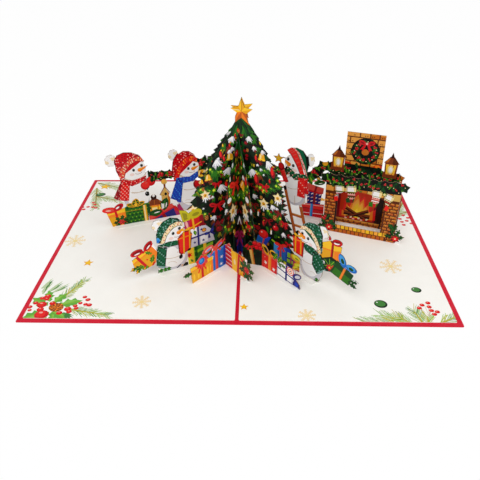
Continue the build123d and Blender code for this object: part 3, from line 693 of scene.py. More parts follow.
def knit(pen, outline, base, shade, marks, seed, fringe=None):
    """A scarf or its tail: a quilt of small stitches over a dark ground."""
    chance = Random(seed)
    pen.face(shade, *outline)
    xs, ys = [x for x, _ in outline], [y for _, y in outline]
    middle = (sum(xs) / len(xs), sum(ys) / len(ys))
    pen.face(
        base,
        *[(middle[0] + 0.84 * (x - middle[0]), middle[1] + 0.84 * (y - middle[1])) for x, y in outline]
    )
    low, high = min(ys), max(ys)
    rows = max(2, round((high - low) / 1.7))
    for row in range(rows):
        y = low + (row + 0.5) * (high - low) / rows
        crossings = []
        for (x0, y0), (x1, y1) in zip(outline, outline[1:] + outline[:1]):
            if (y0 - y) * (y1 - y) < 0:
                crossings.append(x0 + (x1 - x0) * (y - y0) / (y1 - y0))
        for a, b in zip(sorted(crossings)[::2], sorted(crossings)[1::2]):
            steps = max(1, round((b - a) / 1.5))
            for i in range(steps):
                x = a + (b - a) * (i + 0.5) / steps
                pen.oval(marks[(row + i) % len(marks)], x, y, 0.56, 0.5, chance.uniform(-30, 30), 6)
    if fringe:
        for share in range(6):
            x, y = along(fringe[1:], (share + 0.5) / 6)
            pen.oval(fringe[0], x, y, 0.8, 1, 0, 7)


def sprig(pen, x, y, size, heading, tone):
    """A fan of fir needles."""
    p = pen.at(x, y, size, heading)
    upper = [(0, 0.07), (0.34, 0.44), (0.42, 0.2), (0.76, 0.36), (0.68, 0.12)]
    p.face(tone, *upper, (1, 0), *[(a, -b) for a, b in reversed(upper)])


def half_width_at(height, top, half_width):
    return half_width * (1 - max(0, min(1, (height - 12) / (top - 12))) ** 2)


def boughs(pen, side, low, top, half_width, seed):
    """A half tree's fir print: near-black depths with hanging needles, brighter towards the crown."""
    chance = Random(seed)
    pen.box("night", -1, -3, side * (half_width + 12), top + 8)
    pen.box("night", side * -1, -3, side * 2, top + 8)
    y = low - 1
    while y < top + 5:
        width = max(6, half_width_at(y, top, half_width)) + 3
        steps = max(2, round(width / BOUGH_PITCH))
        lift = max(0, (y - 62) / (top - 62))
        for i in range(steps + 1):
            x = side * (i + chance.uniform(-0.5, 0.5)) * width / steps
            heading = -90 + side * chance.uniform(-4, 62)
            bright = chance.random() + 0.26 * lift
            name = next(tone for limit, tone in BOUGH_INKS if bright < limit)
            if chance.random() < 0.1 - 0.1 * lift:
                name = chance.choice(("wood", "wine", "olive_shade"))
            size = chance.uniform(3.8, 6.4)
            fan(pen, x, y + chance.uniform(-1.2, 1.2), size, heading, name, 4, chance.uniform(34, 60), 0.5)
        y += BOUGH_ROW


def swag(pen, *route, side=1):
    """A bright bough with small lights along it. A side of -1 mirrors its route."""
    route = [(side * x, y) for x, y in route]
    for (x0, y0), (x1, y1) in zip(route, route[1:]):
        run = hypot(x1 - x0, y1 - y0)
        heading = degrees(atan2(y1 - y0, x1 - x0))
        steps = max(2, round(run / 1.3))
        for i in range(steps):
            x, y = x0 + (x1 - x0) * i / steps, y0 + (y1 - y0) * i / steps + 0.8 * sin(5 * i)
            fan(pen, x, y, 4.4, heading + (52 if i % 2 else -56), "holly" if i % 2 else "leaf", 3, 50)
            if i % 4 == 1:
                fan(pen, x, y, 2.6, heading - 40, "lime", 3, 44)
    for x, y in route:
        light(pen, x, y, 1.2)


def trim(pen, *items, side=1):
    """Hangs each ornament: how it is drawn, its place and its size. A side of -1 mirrors the places."""
    for draw, x, y, size in items:
        draw(pen, side * x, y, size)


def red_bauble(pen, x, y, size):
    bauble(pen, x, y, size)


def dark_bauble(pen, x, y, size):
    # A dark red bauble with a rim of painted shade and a red painted highlight.
    bauble(pen, x, y, size, "wine", "soot", "red")


def gold_bauble(pen, x, y, size):
    bauble(pen, x, y, size, "gold", "wood", "cream")


def light(pen, x, y, size):
    """A small light and the needles that it brightens."""
    pen.star("leaf", x, y, 1.7 * size, 6, 0.5, 20 * x)
    pen.star("lime", x, y, 1.05 * size, 5, 0.6, 33 * y)
    pen.dot("lemon", x, y, 0.5 * size, 6)


def long_light(pen, x, y, size):
    """A slim golden light that hangs aslant."""
    pen.oval("olive_shade", x, y, 0.42 * size, size, 14, 8)
    pen.oval("yellow", x, y, 0.26 * size, 0.8 * size, 14, 7)


def red_drop(pen, x, y, size):
    """A long red glass drop on a gold cap."""
    pen.oval("wine", x, y, 0.42 * size, size, 8, 10)
    # A painted highlight on the glass.
    pen.oval("scarlet", x - 0.1 * size, y + 0.1 * size, 0.24 * size, 0.7 * size, 8, 8)
    pen.oval("gold", x + 0.1 * size, y + size, 0.22 * size, 0.2 * size, 0, 6)


def dark_bow(pen, x, y, size):
    # A dark red bow with painted shade inside its loops.
    bow(pen, x, y, size, "wine", "soot")


def sprinkle(pen, side, low, top, half_width, seed, count):
    """Small ornaments over a half tree, between the larger ones."""
    chance = Random(seed)
    kinds = (
        long_light, light, dark_bauble, dark_bauble, snow_tuft, dark_bow, red_drop, gold_bauble, dark_bow,
        pine_cone
    )
    sizes = (1.5, 0.5, 1.4, 1, 1.8, 2.4, 1.8, 0.8, 2, 2.4)
    for i in range(count):
        y = low + (top - low) * (i + chance.random()) / count
        x = side * chance.uniform(0.06, 0.92) * half_width_at(y, top, half_width)
        pick = chance.randrange(len(kinds))
        kinds[pick](pen, x, y, sizes[pick] * chance.uniform(0.8, 1.2))


def top_star(pen):
    """The gold star: each arm has a lit and a shaded half, and the lower arms glow orange."""
    x, y = 3, 115.6
    for i in range(5):
        turn = radians(90 + 72 * i)
        low = sin(turn) < -0.1
        reach = 11 if low else 9.4
        tip = (x + reach * cos(turn), y + reach * sin(turn))
        for side in (-1, 1):
            notch = radians(90 + 72 * i + 36 * side)
            inner = (x + 4.3 * cos(notch), y + 4.3 * sin(notch))
            lit = (side > 0) != low
            name = ("carrot" if lit else "ladder") if low else ("yellow" if lit else "gold")
            pen.face(name, (x, y), tip, inner)
    pen.line("cream", 0.5, (x - 7.6, 117.2), (x - 1.4, 116.2))
    pen.line("wood", 0.25, (x, y), (x, y + 9))


# Panel artwork


def print_tree_left(pen):
    boughs(pen, -1, 0, 109, 49, 11)
    crown(pen, -1)
    swag(pen, (-22, 77), (-14, 73.5), (-6, 69))
    swag(pen, (-38, 61), (-30, 63), (-20, 60))
    swag(pen, (-36, 45), (-28, 42))
    sprinkle(pen, -1, 8, 102, 46, 5, 50)
    trim(
        pen,
        (snow_tuft, -4.5, 96, 4.6), (snow_tuft, -5, 89, 3), (red_drop, -13.5, 86.5, 3.2),
        (red_drop, -11.2, 83, 2.6),
        (bell, -6.6, 84, 4.6), (snow_tuft, -7, 87.4, 3), (snow_tuft, -17, 80.5, 6.2),
        (snow_tuft, -8, 72.5, 6), (bell, -24, 71.4, 4),
        (bell, -29.4, 69.4, 3), (bow, -17.4, 64.5, 3.8), (red_drop, -10, 62, 3.4), (light, -20, 60, 1.6),
        (snow_tuft, -14.4, 60, 6.4),
        (white_flower, -27, 57.5, 4.6), (bow, -18, 47, 6), (snow_tuft, -12, 45.5, 3.6),
        (snow_tuft, -20.5, 36.5, 4.2),
        (pine_cone, -27, 38.5, 4), (dark_bauble, -13.4, 31.4, 3), (dark_bauble, -17, 25.6, 3.2),
        (dark_bauble, -12.4, 25, 3),
        (dark_bow, -7.6, 26.4, 4), (long_light, -12, 93.4, 1.8), (white_flower, -37, 48, 4.2),
        (dark_bow, -30, 28, 4),
    )
    top_star(pen)
    print_left_stack(pen)
    print_third_snowman(pen)


def crown(pen, side):
    """The long bright needles under the star."""
    for reach, turn, name in (
        (16, 52, "fir"), (15, 40, "holly"), (14, 30, "fir"), (17, 20, "holly"), (15, 10, "leaf"),
        (14, 3, "fir"), (9, 46, "holly"), (9, 26, "fir")
    ):
        p = pen.at(1.5, 112, reach, -90 + side * turn)
        p.face(name, (0, -0.05), (0.6, -0.13), (1, 0), (0.62, 0.12), (0, 0.05))
        p.line("holly" if name == "fir" else "leaf", 0.03, (0.2, 0), (0.85, 0))


def print_left_stack(pen):
    """The gifts at the tree's left skirt, from the page up."""
    pen.box("leaf", -46, -1, -35, 17.5)
    pen.box("lime", -46, -1, -38, 17.5)
    pen.box("lemon", -47, -1, -42.5, 17)
    pen.box("yellow", -42.4, 0, -39, 17.4)
    for row in range(3):
        for column in range(3):
            pen.box("holly", -38.4 + 5 * column, 1 + 5.6 * row, -35 + 5 * column, 4.8 + 5.6 * row)
    pen.box("leaf", -36, -1, -23, 18)
    pen.face("lime", (-36, 12), (-23, 16), (-23, 13.4), (-36, 9.4))
    pen.face("yellow", (-31.4, -1), (-29, -1), (-28.6, 18), (-31, 18))
    pen.star("scarlet", -43, 9.2, 3, 6, 0.5)
    pen.dot("wine", -43, 9.2, 0.9, 7)
    leaf(pen, -42, 5, 4, -60, "leaf")
    # The white parcel is painted in shade, with two lighter patches of painted highlight.
    pen.face("shade_grey", (-41, 34), (-28, 32.4), (-23.5, 27.5), (-21.5, 17), (-41, 15.5))
    pen.face("snow", (-40, 32), (-35.6, 32), (-35.8, 25), (-40, 24.6))
    pen.face("snow", (-33, 24), (-27, 24.6), (-27, 18), (-33, 17))
    pen.line("navy", 1.5, (-34.2, 34), (-34.6, 16))
    pen.line("navy", 1.4, (-41, 23.6), (-22, 25.5))
    for x, y in ((-30.6, 19.6), (-25.6, 20.8), (-37.6, 19.4), (-31.6, 29.6)):
        pen.star("navy", x, y, 1.5, 5, 0.4)
    pen.dot("wood", -29.6, 28.6, 1.9, 10)
    pen.dot("apricot", -29.6, 28.6, 1.25, 9)
    pen.dot("wood", -29.6, 28.6, 0.5, 6)
    bow(pen, -25.2, 25, 4.4, "navy", "royal", 24)
    pen.line("navy", 0.9, (-25, 25), (-21, 32))
    pen.face("red", (-46, 30.8), (-29.5, 33.6), (-30, 42.5), (-46, 42.5))
    pen.face("magenta", (-46, 31), (-40.6, 31.6), (-40.4, 42), (-46, 42))
    pen.oval("pink", -42.6, 37, 1, 3.2, 8, 10)
    pen.face("wine", (-33, 32.4), (-29, 33.4), (-29.5, 42.5), (-32.4, 42))
    pen.line("gold", 1.5, (-37.2, 31), (-38, 43))
    pen.line("gold", 1, (-45.6, 31), (-31, 36.6))
    pen.face("olive", (-48.5, 51), (-42.2, 49.4), (-39.6, 45.8), (-39.5, 40.6), (-46, 39.6))
    # Painted shade inside the olive ribbon's tail and loop.
    pen.face("olive_shade", (-45.5, 48), (-42.2, 46.6), (-41, 42), (-44.4, 41))
    pen.oval("olive", -35.5, 44.6, 5.4, 3.8, 12, 14)
    pen.oval("olive_shade", -35.2, 44.2, 2.9, 1.5, 12, 10)
    pen.dot("olive", -40.2, 43.4, 1.8, 8)
    plain_leaf(pen, -37.4, 30.4, 5, -80, "leaf", "lime")


def held_gift(pen, outline, lean):
    """A red parcel with gold ribbon, held in the arms."""
    # The dark red rim is painted shade round the face, which is painted lit red.
    pen.face("wine", *outline)
    xs, ys = [x for x, _ in outline], [y for _, y in outline]
    mid = ((min(xs) + max(xs)) / 2, (min(ys) + max(ys)) / 2)
    pen.face("scarlet", *[(mid[0] + 0.84 * (x - mid[0]), mid[1] + 0.9 * (y - mid[1])) for x, y in outline])
    pen.line("gold", 1.2, (mid[0] - 1.8, min(ys)), (mid[0] - 1.8 + lean, max(ys)))
    pen.line("gold", 1.2, (mid[0] + 3, min(ys) + 2), (mid[0] + 3 + lean, max(ys)))
    pen.line("orange", 1, (min(xs), mid[1] + 4.4), (max(xs), mid[1] + 5.6))
    bow(pen, mid[0] + lean, max(ys) + 0.8, 3.6, "gold", "yellow", 0, False)


def print_third_snowman(pen):
    """The snowman with the green hat on the left, with the parcel in its arms and the one behind it."""
    pen.box("snow", -70, -1, -44, 20)
    pen.box("night", -49.5, -1, -44.4, 3.5)
    gift_tilt = pen.at(-86.5, 6.4, 1, 30)
    # Painted shade shows in orange at the parcel's right end, and the yellow band along its top is a painted
    # highlight.
    gift_tilt.face("orange", (-3, -2), (24, -8), (24, 14), (-3, 14))
    gift_tilt.face("gold", (-3, -2), (17, -6), (18.5, 12), (-3, 13.6))
    gift_tilt.face("yellow", (-3, 7.6), (19, 7.6), (19, 13.4), (-3, 13.4))
    gift_tilt.face("orange", (-2, 6.6), (19, 6.6), (19, 7.6), (-2, 7.6))
    gift_tilt.box("red", 9.4, -6, 11.6, 13.6)
    for x, y in ((3.2, 3.4), (5, 2.4), (14.6, 2.6)):
        gift_tilt.dot("scarlet", x, y, 0.8, 7)
    loops(
        pen, ((-82, 24, 5.2, 3, 14), (-73.2, 27.6, 5, 2.7, 48)),
        ("red", 0, 0, 1, 1, 18), ("wine", 0.3, 0.3, 0.74, 0.5, 10), ("snow", 0.2, -0.9, 0.44, 0.2, 8),
    )
    pen.dot("red", -77.4, 23.6, 1.4, 8)
    for x, y, length, heading in (
        (-79, 12, 9, 200), (-78, 11.5, 8.5, 232), (-76, 11, 7.5, 270), (-70, 19, 7.5, 250),
        (-71, 20, 6, 150),
    ):
        leaf(pen, x, y, length, heading, "leaf" if heading % 20 else "holly")
    pen.line("red", 1.4, (-72, 8.5), (-70, 12.4))
    snowman_body(pen, -56.4, 11.6, 11.4, 12.4, 1)
    # Painted shadow under the head, and a painted highlight on the body below it.
    pen.oval("shade_grey", -54.6, 21, 6.8, 2.4, -20, 14)
    pen.oval("snow", -56.6, 16.2, 4.6, 5.4, -24, 16)
    pen.face("wool", (-68, 26.4), (-63, 26), (-61, 20.4), (-67, 19.6))
    pen.arc("warm_shade_and_line", 0.55, -54.4, 13.6, 7.6, 205, 330, 0.36)
    pen.oval("coal", -49.5, 10.2, 1.4, 2.1, -16, 12)
    pen.line("coal", 0.9, (-53.5, 0.6), (-50.2, 3))
    pen.line("coal", 0.9, (-48, 1.6), (-45.6, 3.6))
    pen.line("lit_brick", 0.8, (-49.8, 1.6), (-48.6, 2.4))
    for x in (-68, -65.4, -62.4, -59.8):
        sprig(pen, x, 4, 4.8, -100 + 2 * (x + 64), "leaf")
    snowman_face(
        pen, (-54.5, 32.4), (9.4, 9.2), [(-53.6, 32.6), (-48.5, 35.7)], [(-49.6, 32.1), (-44.6, 35.4)], 1
    )
    pompom_print(pen, -64.4, 42.5, 4.4, 5)
    crown = [(-66.8, 26.2), (-66.8, 34), (-64.6, 40), (-60, 45.2), (-54.5, 46.8), (-49, 45.2), (-45.2, 41)]
    knit_hat(
        pen, crown, [(-64.4, 26), (-60.6, 34.6), (-55.4, 40.4), (-50, 42), (-45.6, 40.6)],
        [(-61, 26), (-58.4, 32), (-54, 36.8), (-49.4, 38.2), (-45.4, 37)],
        "wool", "night", "teal", "flake", ("trunk", "flake", "red", "flake", "wool"), 4,
    )
    pen.oval("sky", -65.6, 30, 1.7, 2.3, 0, 12)
    pen.oval("blue", -65.2, 29.2, 1, 1.2, 0, 8)
    scarf = ("holly", "teal", "night", "wool")
    knit(
        pen, [(-66.4, 25.8), (-58, 21.8), (-49.6, 21.4), (-49.2, 25.4), (-57, 26.6)], "wool", "night",
        scarf, 6,
    )
    knit(
        pen, [(-66.4, 25), (-69.4, 7.6), (-62.6, 3.8), (-59.2, 22)], "wool", "night", scarf, 7,
        ("teal", (-69.2, 7.4), (-62.8, 4.4)),
    )
    held_gift(
        pen,
        [(-50.6, 27.4), (-50.8, 14), (-49.2, 11.6), (-41.2, 14.6), (-39.2, 28.4), (-41, 31.8), (-45.5, 32)],
        1.2,
    )
    pen.oval("coal", -42.4, 14.6, 1.6, 1, 30, 8)


def print_tree_right(pen):
    boughs(pen, 1, 0, 109, 49, 12)
    crown(pen, 1)
    swag(pen, (6, 69), (14, 73.5), (24, 78))
    swag(pen, (20, 60), (30, 66), (36, 70))
    swag(pen, (24, 44), (34, 40))
    sprinkle(pen, 1, 10, 102, 46, 9, 46)
    trim(
        pen,
        (snow_tuft, 8.4, 97, 4.2), (snow_tuft, 12, 91, 3.2), (long_light, 17, 96, 1.8),
        (bell, 18.4, 86, 4.6), (snow_tuft, 18.6, 89.4, 3.2),
        (red_drop, 14, 84, 2.6), (snow_tuft, 22.6, 80.5, 6.2), (snow_tuft, 11, 72, 6),
        (red_drop, 14.4, 67.5, 4.6), (red_drop, 27, 76, 4.6),
        (bow, 20.6, 63, 4.2), (light, 17.4, 61.6, 1.3), (light, 31, 70.6, 1.4),
        (white_flower, 20.4, 49, 4.8), (white_flower, 31.4, 56.4, 4.6),
        (snow_tuft, 27, 47.6, 4.2), (candle, 16, 39.4, 4.4), (dark_bow, 24, 35.5, 4.2),
        (red_drop, 20.6, 32, 2.6), (red_bauble, 30.6, 30.6, 2.5),
        (candle, 27, 26, 4.2), (dark_bow, 33.4, 44, 4.2), (pine_cone, 29.6, 39.4, 3.8),
        (bow, 10.4, 26.4, 4), (dark_bauble, 16, 26.4, 2.6),
        (snow_tuft, 12, 53, 3.8), (dark_bow, 12, 46, 3.6),
    )
    top_star(pen)
    pen.face("blue", (14.5, 14), (22, 10), (27, 21), (16, 20))
    pen.face("royal", (19, 12), (22, 10), (27, 21), (21, 20))
    pen.line("coral", 1.2, (19.4, 11), (22, 21))
    bauble(pen, 20.6, 22.2, 4, "scarlet", "red")
    blue_box(pen, 29.6)


def blue_box(pen, left):
    """The blue parcel that the bend runs through. It starts at left."""
    pen.box("blue", left, 2.4, left + 15, 17)
    # A painted highlight down the left side and painted shade down the right.
    pen.box("sky", left, 2.4, left + 3.2, 17)
    pen.box("royal", left + 11, 2.4, left + 15, 17)
    pen.box("coral", left + 5, 2.4, left + 6.8, 17)
    pen.line("lime", 1.4, (left - 2, 19.5), (left + 1.6, 17.2))
    bow(pen, left + 6, 16.4, 5.2, "scarlet", "coral", 6)


def print_snowman_run(pen):
    boughs(pen, 1, 0, 78, 20, 13)
    trim(
        pen, (bow, 3, 37, 4), (dark_bauble, 8, 28, 2.2), (white_flower, 5, 45, 3.4), (bow, 7.6, 20.6, 3.2),
        (snow_tuft, 2.4, 27, 4),
    )
    blue_box(pen, -5.4)
    pen.box("lime", 7, 4.6, 13.6, 13.6)
    pen.box("navy", 7, 7.6, 13.6, 9.2)
    pen.box("magenta", 10, 4.6, 11.4, 13.6)
    pen.face("leaf", (-0.5, -1), (12.6, -1), (12.6, 4.8), (-0.5, 4))
    pen.box("navy", 6.4, -1, 12.8, 3.4)
    pen.box("lemon", 4, -1, 6.4, 3.2)
    pen.box("magenta", 12.6, -1, 23, 15)
    loops(
        pen, ((15.6, 11.6, 5.2, 3.3, -12), (18.2, 5.2, 4.9, 3.5, 8), (15.4, 2.6, 3.2, 1.8, 30)),
        ("gold", 0, 0, 1, 1, 18), ("lemon", -0.3, 0.5, 0.72, 0.6, 10), ("olive_shade", 0.4, -0.2, 0.4, 0.2, 8),
    )
    print_right_parcels(pen)
    print_fifth_snowman(pen)


def print_right_parcels(pen):
    """The two parcels that lean on the right snowman, and the holly between them."""
    pen.face("gold", (34, 18), (53, 22), (53, 42), (34, 42))
    # Painted shade down the gold parcel's right side and a painted highlight on its lid.
    pen.face("orange", (46.5, 20), (53, 22), (53, 36), (47, 34))
    pen.face("yellow", (34, 32.6), (47, 34.4), (53, 37), (53, 43), (34, 42))
    pen.face("orange", (34, 31.6), (47, 33.4), (47, 34.4), (34, 32.6))
    pen.face("wine", (44, 18), (46.2, 18), (46, 42), (44.2, 42))
    pen.face("red", (44, 18), (45, 18), (45, 42), (44.2, 42))
    loops(
        pen, ((40.2, 43.2, 3.7, 2.4, -28), (48.2, 41.8, 4.7, 3, 16)),
        ("red", 0, 0, 1, 1, 18), ("snow", -0.2, -0.8, 0.5, 0.3, 9), ("wine", 0.3, 0.4, 0.6, 0.3, 8),
    )
    pen.dot("wine", 44.4, 41, 1.5, 8)
    pen.face("fir", (38.5, 13), (37.5, 24), (45, 28.5), (51, 27), (50, 14))
    for heading in (96, 140, 60, 20, 200, -40):
        leaf(pen, 44.4, 20, 7.2, heading, "holly" if heading > 90 else "leaf")
    pen.star("red", 44.4, 18.6, 3.4, 6, 0.5)
    pen.dot("yellow", 44.4, 18.6, 0.8, 7)
    for i in range(4):
        pen.dot("snow" if i % 2 else "scarlet", 47.6 + 0.7 * i, 20.6 - 1.9 * i, 1.5, 9)
    pen.face("holly", (44.8, 15.4), (50, 28), (64.4, 22.4), (61.6, 10.8))
    pen.face("leaf", (46.6, 15.8), (49, 21.6), (62.2, 17.4), (60.4, 11.8))
    pen.line("orange", 1.6, (53.6, 13), (57, 25.6))
    pen.line("wood", 0.4, (54.6, 13), (58, 25.4))
    loops(
        pen, ((54, 29.6, 3, 5.6, 24), (61.2, 26.4, 4.9, 3.1, -8)),
        ("blue", 0, 0, 1, 1, 18), ("sky", -0.4, 0.4, 0.72, 0.7, 10), ("holly", 0, -0.4, 0.42, 0.4, 9),
    )
    pen.dot("blue", 57.4, 25.2, 1.5, 8)
    for heading, length in ((14, 9), (-16, 8.5), (-2, 9)):
        leaf(pen, 60, 14.6, length, heading, "holly" if heading else "leaf", None)


def print_fifth_snowman(pen):
    """The snowman with the green hat on the right, turned to the tree, with a parcel in its arms."""
    pen.box("snow", 19, -1, 40, 22)
    pen.box("fir", 36.6, -1, 43, 4)
    snowman_body(pen, 29.4, 11.8, 9.4, 12.8, -1)
    # A painted highlight on the upper body.
    pen.oval("snow", 26.6, 17.6, 5, 5.6, 20, 16)
    pen.arc("warm_shade_and_line", 0.55, 25.6, 15, 5.6, 210, 335, 0.36)
    pen.arc("warm_shade_and_line", 0.5, 30, 3.6, 6, 200, 300, 0.5)
    pen.line("coal", 1, (32.6, 1), (35.4, 0.2))
    for x in (35, 38, 41):
        sprig(pen, x, 4, 4.4, -90 + 3 * (x - 37), "leaf")
    snowman_face(pen, (26, 33.8), (9.6, 9.2), [(19.4, 36.3), (24.6, 34.2)], [(20.9, 33.4), (15.6, 36.6)], -1)
    pompom_print(pen, 36.5, 44.9, 4.2, 5.2)
    crown = [
        (16.2, 42), (19.6, 45), (24, 48.4), (28.6, 49.4), (33.4, 48.6), (36.6, 42), (37.2, 34), (37.2, 26.6)
    ]
    knit_hat(
        pen, crown, [(16, 42), (21.4, 43.8), (26.8, 42.6), (32, 37.4), (35.6, 30.6), (36.8, 26.6)],
        [(16.2, 38.6), (21.6, 40.4), (26.2, 38.8), (29.6, 35), (32.6, 30), (33.6, 26)],
        "wool", "night", "teal", "flake", ("trunk", "flake", "red", "flake", "wool"), 8,
    )
    scarf = ("holly", "teal", "night", "wool")
    knit(pen, [(20.4, 29.4), (22.4, 22.8), (32, 21), (35, 25.6), (30, 28.4)], "wool", "night", scarf, 16)
    knit(
        pen, [(29.4, 25), (36.8, 25.8), (42, 15.2), (34.4, 7.4), (29.6, 14)], "wool", "night", scarf, 17,
        ("teal", (41.4, 14.6), (35, 8.4)),
    )
    held_gift(pen, [(10.6, 31), (14.5, 31.6), (19, 30.6), (21.6, 28), (21.4, 15.6), (12.4, 16.8)], -0.6)


def print_wing(pen, side, near):
    """A narrow half tree with the magenta bow. The near wings also carry a large bow and a bell."""
    boughs(pen, side, 2, 97, 28, 30 + side + (10 if near else 0))
    swag(pen, (15, 66), (8, 57), (0.4, 53), side=side)
    swag(pen, (14, 61), (8, 53), (0.4, 50), side=side)
    swag(pen, (12, 80), (5, 76), (0.4, 70), side=side)
    swag(pen, (22, 36), (17, 31), (12, 30), side=side)
    sprinkle(pen, side, 26, 92, 24, 50 + side, 22)
    for reach, turn in ((14, 6), (15, 14), (13, 24)):
        pen.at(0, 97, reach, -90 + side * turn).face(
            "leaf" if turn == 6 else "holly", (0, -0.05), (0.6, -0.1), (1, 0), (0.6, 0.1), (0, 0.05)
        )
    trim(
        pen,
        (capped_cone, 14.2, 53, 5.6), (white_flower, 10.2, 43, 6.8), (long_light, 8.6, 33, 2.4),
        (bell, 9.4, 23.6, 4.2),
        (dark_bow, 16.6, 33.4, 3.4), (snow_tuft, 9, 80, 3.8), (candle, 13, 71, 4.2),
        (red_drop, 18, 60, 3.2), (dark_bauble, 5, 47, 1.8),
        (snow_tuft, 20, 48, 4), (dark_bauble, 3, 38, 1.6),
        side=side,
    )
    mirrored = pen.at(0, 0, 1, 0, side)
    mirrored.face("snow", (0, 34), (4.2, 27.4), (2.6, 27.2), (0, 30.8))
    # Painted shade beside the snow, across the fold.
    mirrored.face("shade_grey", (0, 30.8), (0, 33.4), (-1, 31), (-1, 29.4))
    if near:
        if side < 0:
            bow(pen, -5.4, 63.4, 8.2, "scarlet", "red")
            dark_bauble(pen, -2.4, 86, 3.2)
            red_bauble(pen, -2.4, 86, 2.4)
            snow_tuft(pen, -4, 95, 4.4)
        else:
            bell(pen, 6.8, 63.2, 6.4, -20)
            snow_tuft(pen, 7.4, 69.4, 3.6)
            red_drop(pen, 12.4, 68, 4)
            bow(pen, 15.4, 33, 4.4, "scarlet", "red")
    pen.box("night", -1, -1, 10 * side, 15)
    mirrored.face("navy", (-1, -1), (4.6, -1), (5.6, 14), (-1, 14))
    mirrored.face("royal", (3.2, -1), (4.6, -1), (5.6, 14), (4, 14))
    mirrored.face("magenta", (-1, 15), (1.6, 17), (6.8, 8.4), (4.4, 8.2), (-1, 13))
    pen.oval("magenta", 4.6 * side, 19.2, 4, 2.8, 25 * side, 12)
    pen.oval("wine", 4.8 * side, 19, 2, 1.1, 25 * side, 9)
    pen.dot("magenta", 0, 16.6, 2, 9)


def print_far_half(pen, side):
    """The tree's far side: the same boughs and ornaments over a low row of parcels."""
    boughs(pen, side, 10, 109, 49, 60 + side)
    crown(pen, side)
    swag(pen, (0.5, 92), (5, 96), (9, 101), side=side)
    swag(pen, (4, 64), (16, 68), (27, 76), side=side)
    swag(pen, (20, 46), (30, 50), (39, 56), side=side)
    swag(pen, (6, 34), (16, 30), (27, 34), side=side)
    sprinkle(pen, side, 18, 104, 46, 70 + side, 54)
    trim(
        pen,
        (snow_tuft, 6, 97, 5), (bell, 12, 84, 4.2), (bow, 5, 78, 4.4), (red_bauble, 20, 72, 3),
        (white_flower, 27, 62, 5),
        (bow, 14, 58, 5.4), (bell, 34, 52, 4.6), (snow_tuft, 22, 50, 5.4), (white_flower, 12, 45, 5.2),
        (bow, 29, 40, 5.4),
        (pine_cone, 20, 36, 5), (dark_bauble, 36, 36, 3), (red_bauble, 8, 30, 3), (bow, 16, 23, 4.6),
        (bell, 30, 27, 4.4),
        (dark_bauble, 24, 21, 2.6), (snow_tuft, 36, 24, 5), (candle, 4.6, 55, 5),
        side=side,
    )
    top_star(pen)
    pen.box("trunk", 0, -1, 5 * side, 13.5)
    pen.box("ladder", 2.6 * side, -1, 5 * side, 13.5)
    pen.box("ladder", -side, -1, 0, 13.5)
    for left, *parcel in (
        (4.6, 10.4, 15, "red", "wine", "gold"), (15, 10.4, 13, "blue", "royal", "snow"),
        (25, 13, 15, "gold", "orange", "red")
    ):
        gift(pen.at(left * side, 0, 1, 0, side), *parcel)


